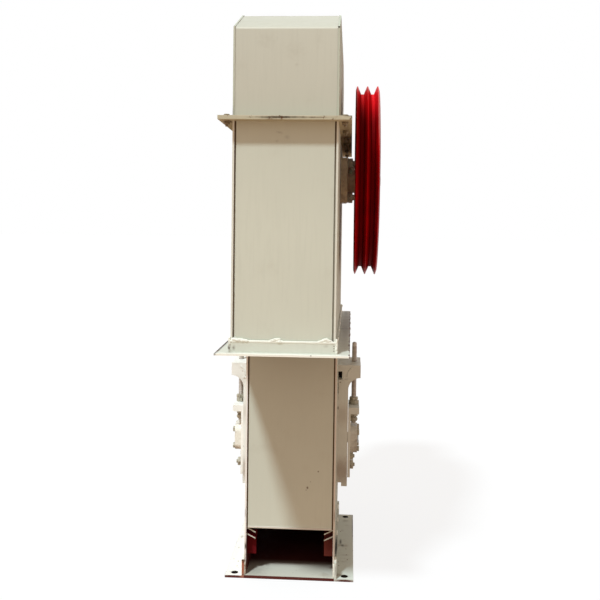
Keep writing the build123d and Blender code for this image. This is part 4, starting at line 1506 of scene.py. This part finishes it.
    def lug_welds(self) -> Shape:
        """Weld beads between the lug's cheeks and the guides, and the curved one on the front cheek."""
        shape = Shape()
        curve = [self.side.at(x, AXLE_Y - self.cheek, z)
                 for x, z in ((0.1066, 0.3585), (0.1020, 0.3535), (0.0985, 0.3475), (0.0972, 0.3400))]
        for number, (start, end) in enumerate(zip(curve, curve[1:])):
            shape.bead(start, end, 0.0030, 0.0009, 160 + number)
        for sign in (-1, 1):
            y = AXLE_Y + sign * 0.0500
            shape.bead(self.side.at(0.0900, y, 0.3352), self.side.at(0.0995, y, 0.3352), 0.0038, 0.0011, 100 + sign)
        return shape


def dress_inlet() -> None:
    """Leaves the brackets inside the boot's open front in primer, with paint on their front edges."""
    for side, tint, dusty in (
        (Side.LEFT, (0.11, 0.003, 0.005), (0.09, 0.014, 0.012)),
        (Side.RIGHT, (0.13, 0.026, 0.018), (0.16, 0.060, 0.040)),
    ):
        dress(f"inlet_bracket_{side.label}", RedOxide(
            f"inlet_bracket_primer_{side.label}", tint, dusty, painted_front=-0.1561,
        ))


@dataclass
class BeltRun:
    """The belt with its buckets, bucket bolts and drums."""

    outside: float = 0.0893
    count: int = 11
    bolt_columns: tuple[float, ...] = (-0.030, 0.030)
    bolt_rise: float = 0.006
    sheet: float = 0.002

    def build(self) -> None:
        """Dresses the belt, its buckets and the drums, and puts in the bucket bolts."""
        dress("bucket_belt", BeltRubber("belt_cover"))
        dress("buckets", BucketSteel("bucket_pressing"))
        drums = RedOxide("drum_primer")
        dress("head_drum", drums)
        dress("boot_drum", drums)
        shape = Shape()
        dome = ((0.0060, 0.0), (0.0052, 0.0007), (0.0030, 0.0015), (0.0, 0.0018))
        for number in range(self.count):
            turn, y, z = self.place((number + 0.5) * self.loop / self.count)
            out = Vector((0.0, math.cos(turn), math.sin(turn)))
            travel = Vector((0.0, -math.sin(turn), math.cos(turn)))
            for x in self.bolt_columns:
                base = Vector((x, y, z)) + out * self.sheet + travel * self.bolt_rise
                shape.turned(dome, standing(base, out), 20)
                shape.hexagon(0.0052, 0.0038, standing(base, out, 0.4), 0.0005)
        shape.finish("bucket_bolts", FASTENER, Slot.STEEL)

    @property
    def loop(self) -> float:
        """Length of the belt's outside."""
        return 2.0 * (HEAD_AXLE - BOOT_AXLE) + math.tau * self.outside

    def place(self, travel: float) -> tuple[float, float, float]:
        """Finds a point on the belt's outside.

        Args:
            travel: distance along the belt from the boot axle's height on the climbing run.

        Returns:
            Angle of the outward direction, Y and Z.
        """
        straight = HEAD_AXLE - BOOT_AXLE
        arc = math.pi * self.outside
        if travel < straight:
            return 0.0, AXLE_Y + self.outside, BOOT_AXLE + travel
        if travel < straight + arc:
            turn = (travel - straight) / self.outside
            return turn, AXLE_Y + self.outside * math.cos(turn), HEAD_AXLE + self.outside * math.sin(turn)
        if travel < 2.0 * straight + arc:
            return math.pi, AXLE_Y - self.outside, HEAD_AXLE - (travel - straight - arc)
        turn = math.pi + (travel - 2.0 * straight - arc) / self.outside
        return turn, AXLE_Y + self.outside * math.cos(turn), BOOT_AXLE + self.outside * math.sin(turn)


# Studio


@dataclass
class Studio:
    """Pale floor, white background, soft light and the camera of the photograph."""

    key_direction: Point = (0.31, 0.60, -1.0)
    key_strength: float = 3.2
    key_angle: float = 6.0
    key_colour: Colour = (0.80, 0.925, 1.0)
    sky_colour: Colour = (0.62, 0.525, 0.45)
    sky_sides: tuple[float, float] = (1.22, 0.80)
    floor_bounce: Colour = (0.53, 0.350, 0.240)
    floor_shown: Colour = (0.85, 0.85, 0.85)
    floor_painted_shadow: Colour = (0.03, 0.02, 0.015)
    floor_glow: float = 0.84
    floor_half: float = 40.0
    floor_gap: float = 0.0003
    foot_half: tuple[float, float] = (0.1135, 0.1665)
    focal_length: float = 50.200
    shift_y: float = -0.07
    yaw: float = -3.474
    pitch: float = -2.194
    roll: float = 0.740
    eye: Point = (0.1010, -1.6210, 0.6257)

    def build(self) -> None:
        """Makes the whole studio."""
        self.sky()
        self.floor()
        self.lamp()
        self.camera()
        view = bpy.context.scene.view_settings
        view.view_transform = "Standard"
        log.info("studio: floor, sky, key lamp and camera are in place")

    def sky(self) -> None:
        """Lights the object softly from all round, more from the left than from the right, on white."""
        world = bpy.data.worlds.new("studio_sky")
        bpy.context.scene.world = world
        world.use_nodes = True
        board = Board(world.node_tree, "Generated")
        light = board.tree.nodes["Background"]
        board.feed(self.sky_colour, light.inputs["Color"])
        left, right = self.sky_sides
        sides = {"Value": board.along(Axis.X), "From Min": -1.0, "From Max": 1.0, "To Min": left, "To Max": right}
        board.feed(board.node("MapRange", sides).outputs[0], light.inputs["Strength"])
        white = board.node("Background", {"Color": WHITE})
        mix = board.blend(board.seen(), light, white)
        board.feed(mix.outputs[0], board.tree.nodes["World Output"].inputs["Surface"])

    def floor(self) -> None:
        """Lays the floor, white to the camera with the object's soft shadow on it, and a painted dark shadow within the
        feet's footprint.
        """
        bm = bmesh.new()
        bmesh.ops.create_grid(bm, x_segments=2, y_segments=2, size=self.floor_half)
        bmesh.ops.translate(bm, vec=(0, 0, -self.floor_gap), verts=bm.verts)
        mesh = bpy.data.meshes.new("studio_floor")
        bm.to_mesh(mesh)
        bm.free()
        board = Desk("studio_floor")
        board.tree.nodes.remove(board.shader)
        colours = (self.floor_bounce, self.floor_shown, self.floor_painted_shadow)
        bounce, shown, dark = (board.node("BsdfDiffuse", {"Color": colour}) for colour in colours)
        pale = board.blend(self.floor_glow, shown, board.node("Emission", {"Color": WHITE}))
        # Painted shadow: the floor is dark within the feet's footprint, where it shows through the bolt holes.
        within = [
            board.math("LESS_THAN", board.math("ABSOLUTE", board.along(axis)), half)
            for axis, half in zip((Axis.X, Axis.Y), self.foot_half)
        ]
        mix = board.blend(board.seen(), bounce, board.blend(board.times(*within), pale, dark))
        board.feed(mix.outputs[0], board.tree.nodes["Material Output"].inputs["Surface"])
        mesh.materials.append(board.material)
        placed("studio_floor", mesh)

    def lamp(self) -> None:
        """Hangs the key light, high in front and a little to the left."""
        light = bpy.data.lights.new("key_light", "SUN")
        light.energy = self.key_strength
        light.angle = math.radians(self.key_angle)
        light.color = self.key_colour
        lamp = placed("key_light", light)
        lamp.rotation_mode = "QUATERNION"
        lamp.rotation_quaternion = Vector(self.key_direction).to_track_quat("-Z", "Y")
        lamp.location = (-1.0, -3.0, 4.0)

    def camera(self) -> None:
        """Sets the camera where the photograph was taken from."""
        data = bpy.data.cameras.new("photo_camera")
        data.sensor_width = 36.0
        data.lens = self.focal_length
        data.shift_y = self.shift_y
        camera = placed("photo_camera", data)
        yaw, pitch, roll = (math.radians(angle) for angle in (self.yaw, self.pitch, self.roll))
        camera.matrix_world = (
            Matrix.Translation(self.eye) @ Matrix.Rotation(-yaw, 4, "Z")
            @ Matrix.Rotation(math.pi / 2 + pitch, 4, "X") @ Matrix.Rotation(roll, 4, "Z")
        )
        bpy.context.scene.camera = camera


def main() -> None:
    """Builds the dressed machine, sub-assembly by sub-assembly."""
    logging.basicConfig(level=logging.INFO, format="%(message)s")
    Studio().build()
    Casing().dress()
    flanges = Flanges()
    flanges.dress()
    CapBolts().build()
    flanges.welds()
    feet = Feet()
    feet.dress()
    feet.welds()
    for side in Side:
        HeadBearing(side).build()
        TakeUp(side).build()
    DrivePulley().build()
    Shafts().build()
    dress_inlet()
    BeltRun().build()


if __name__ == "__main__":
    main()
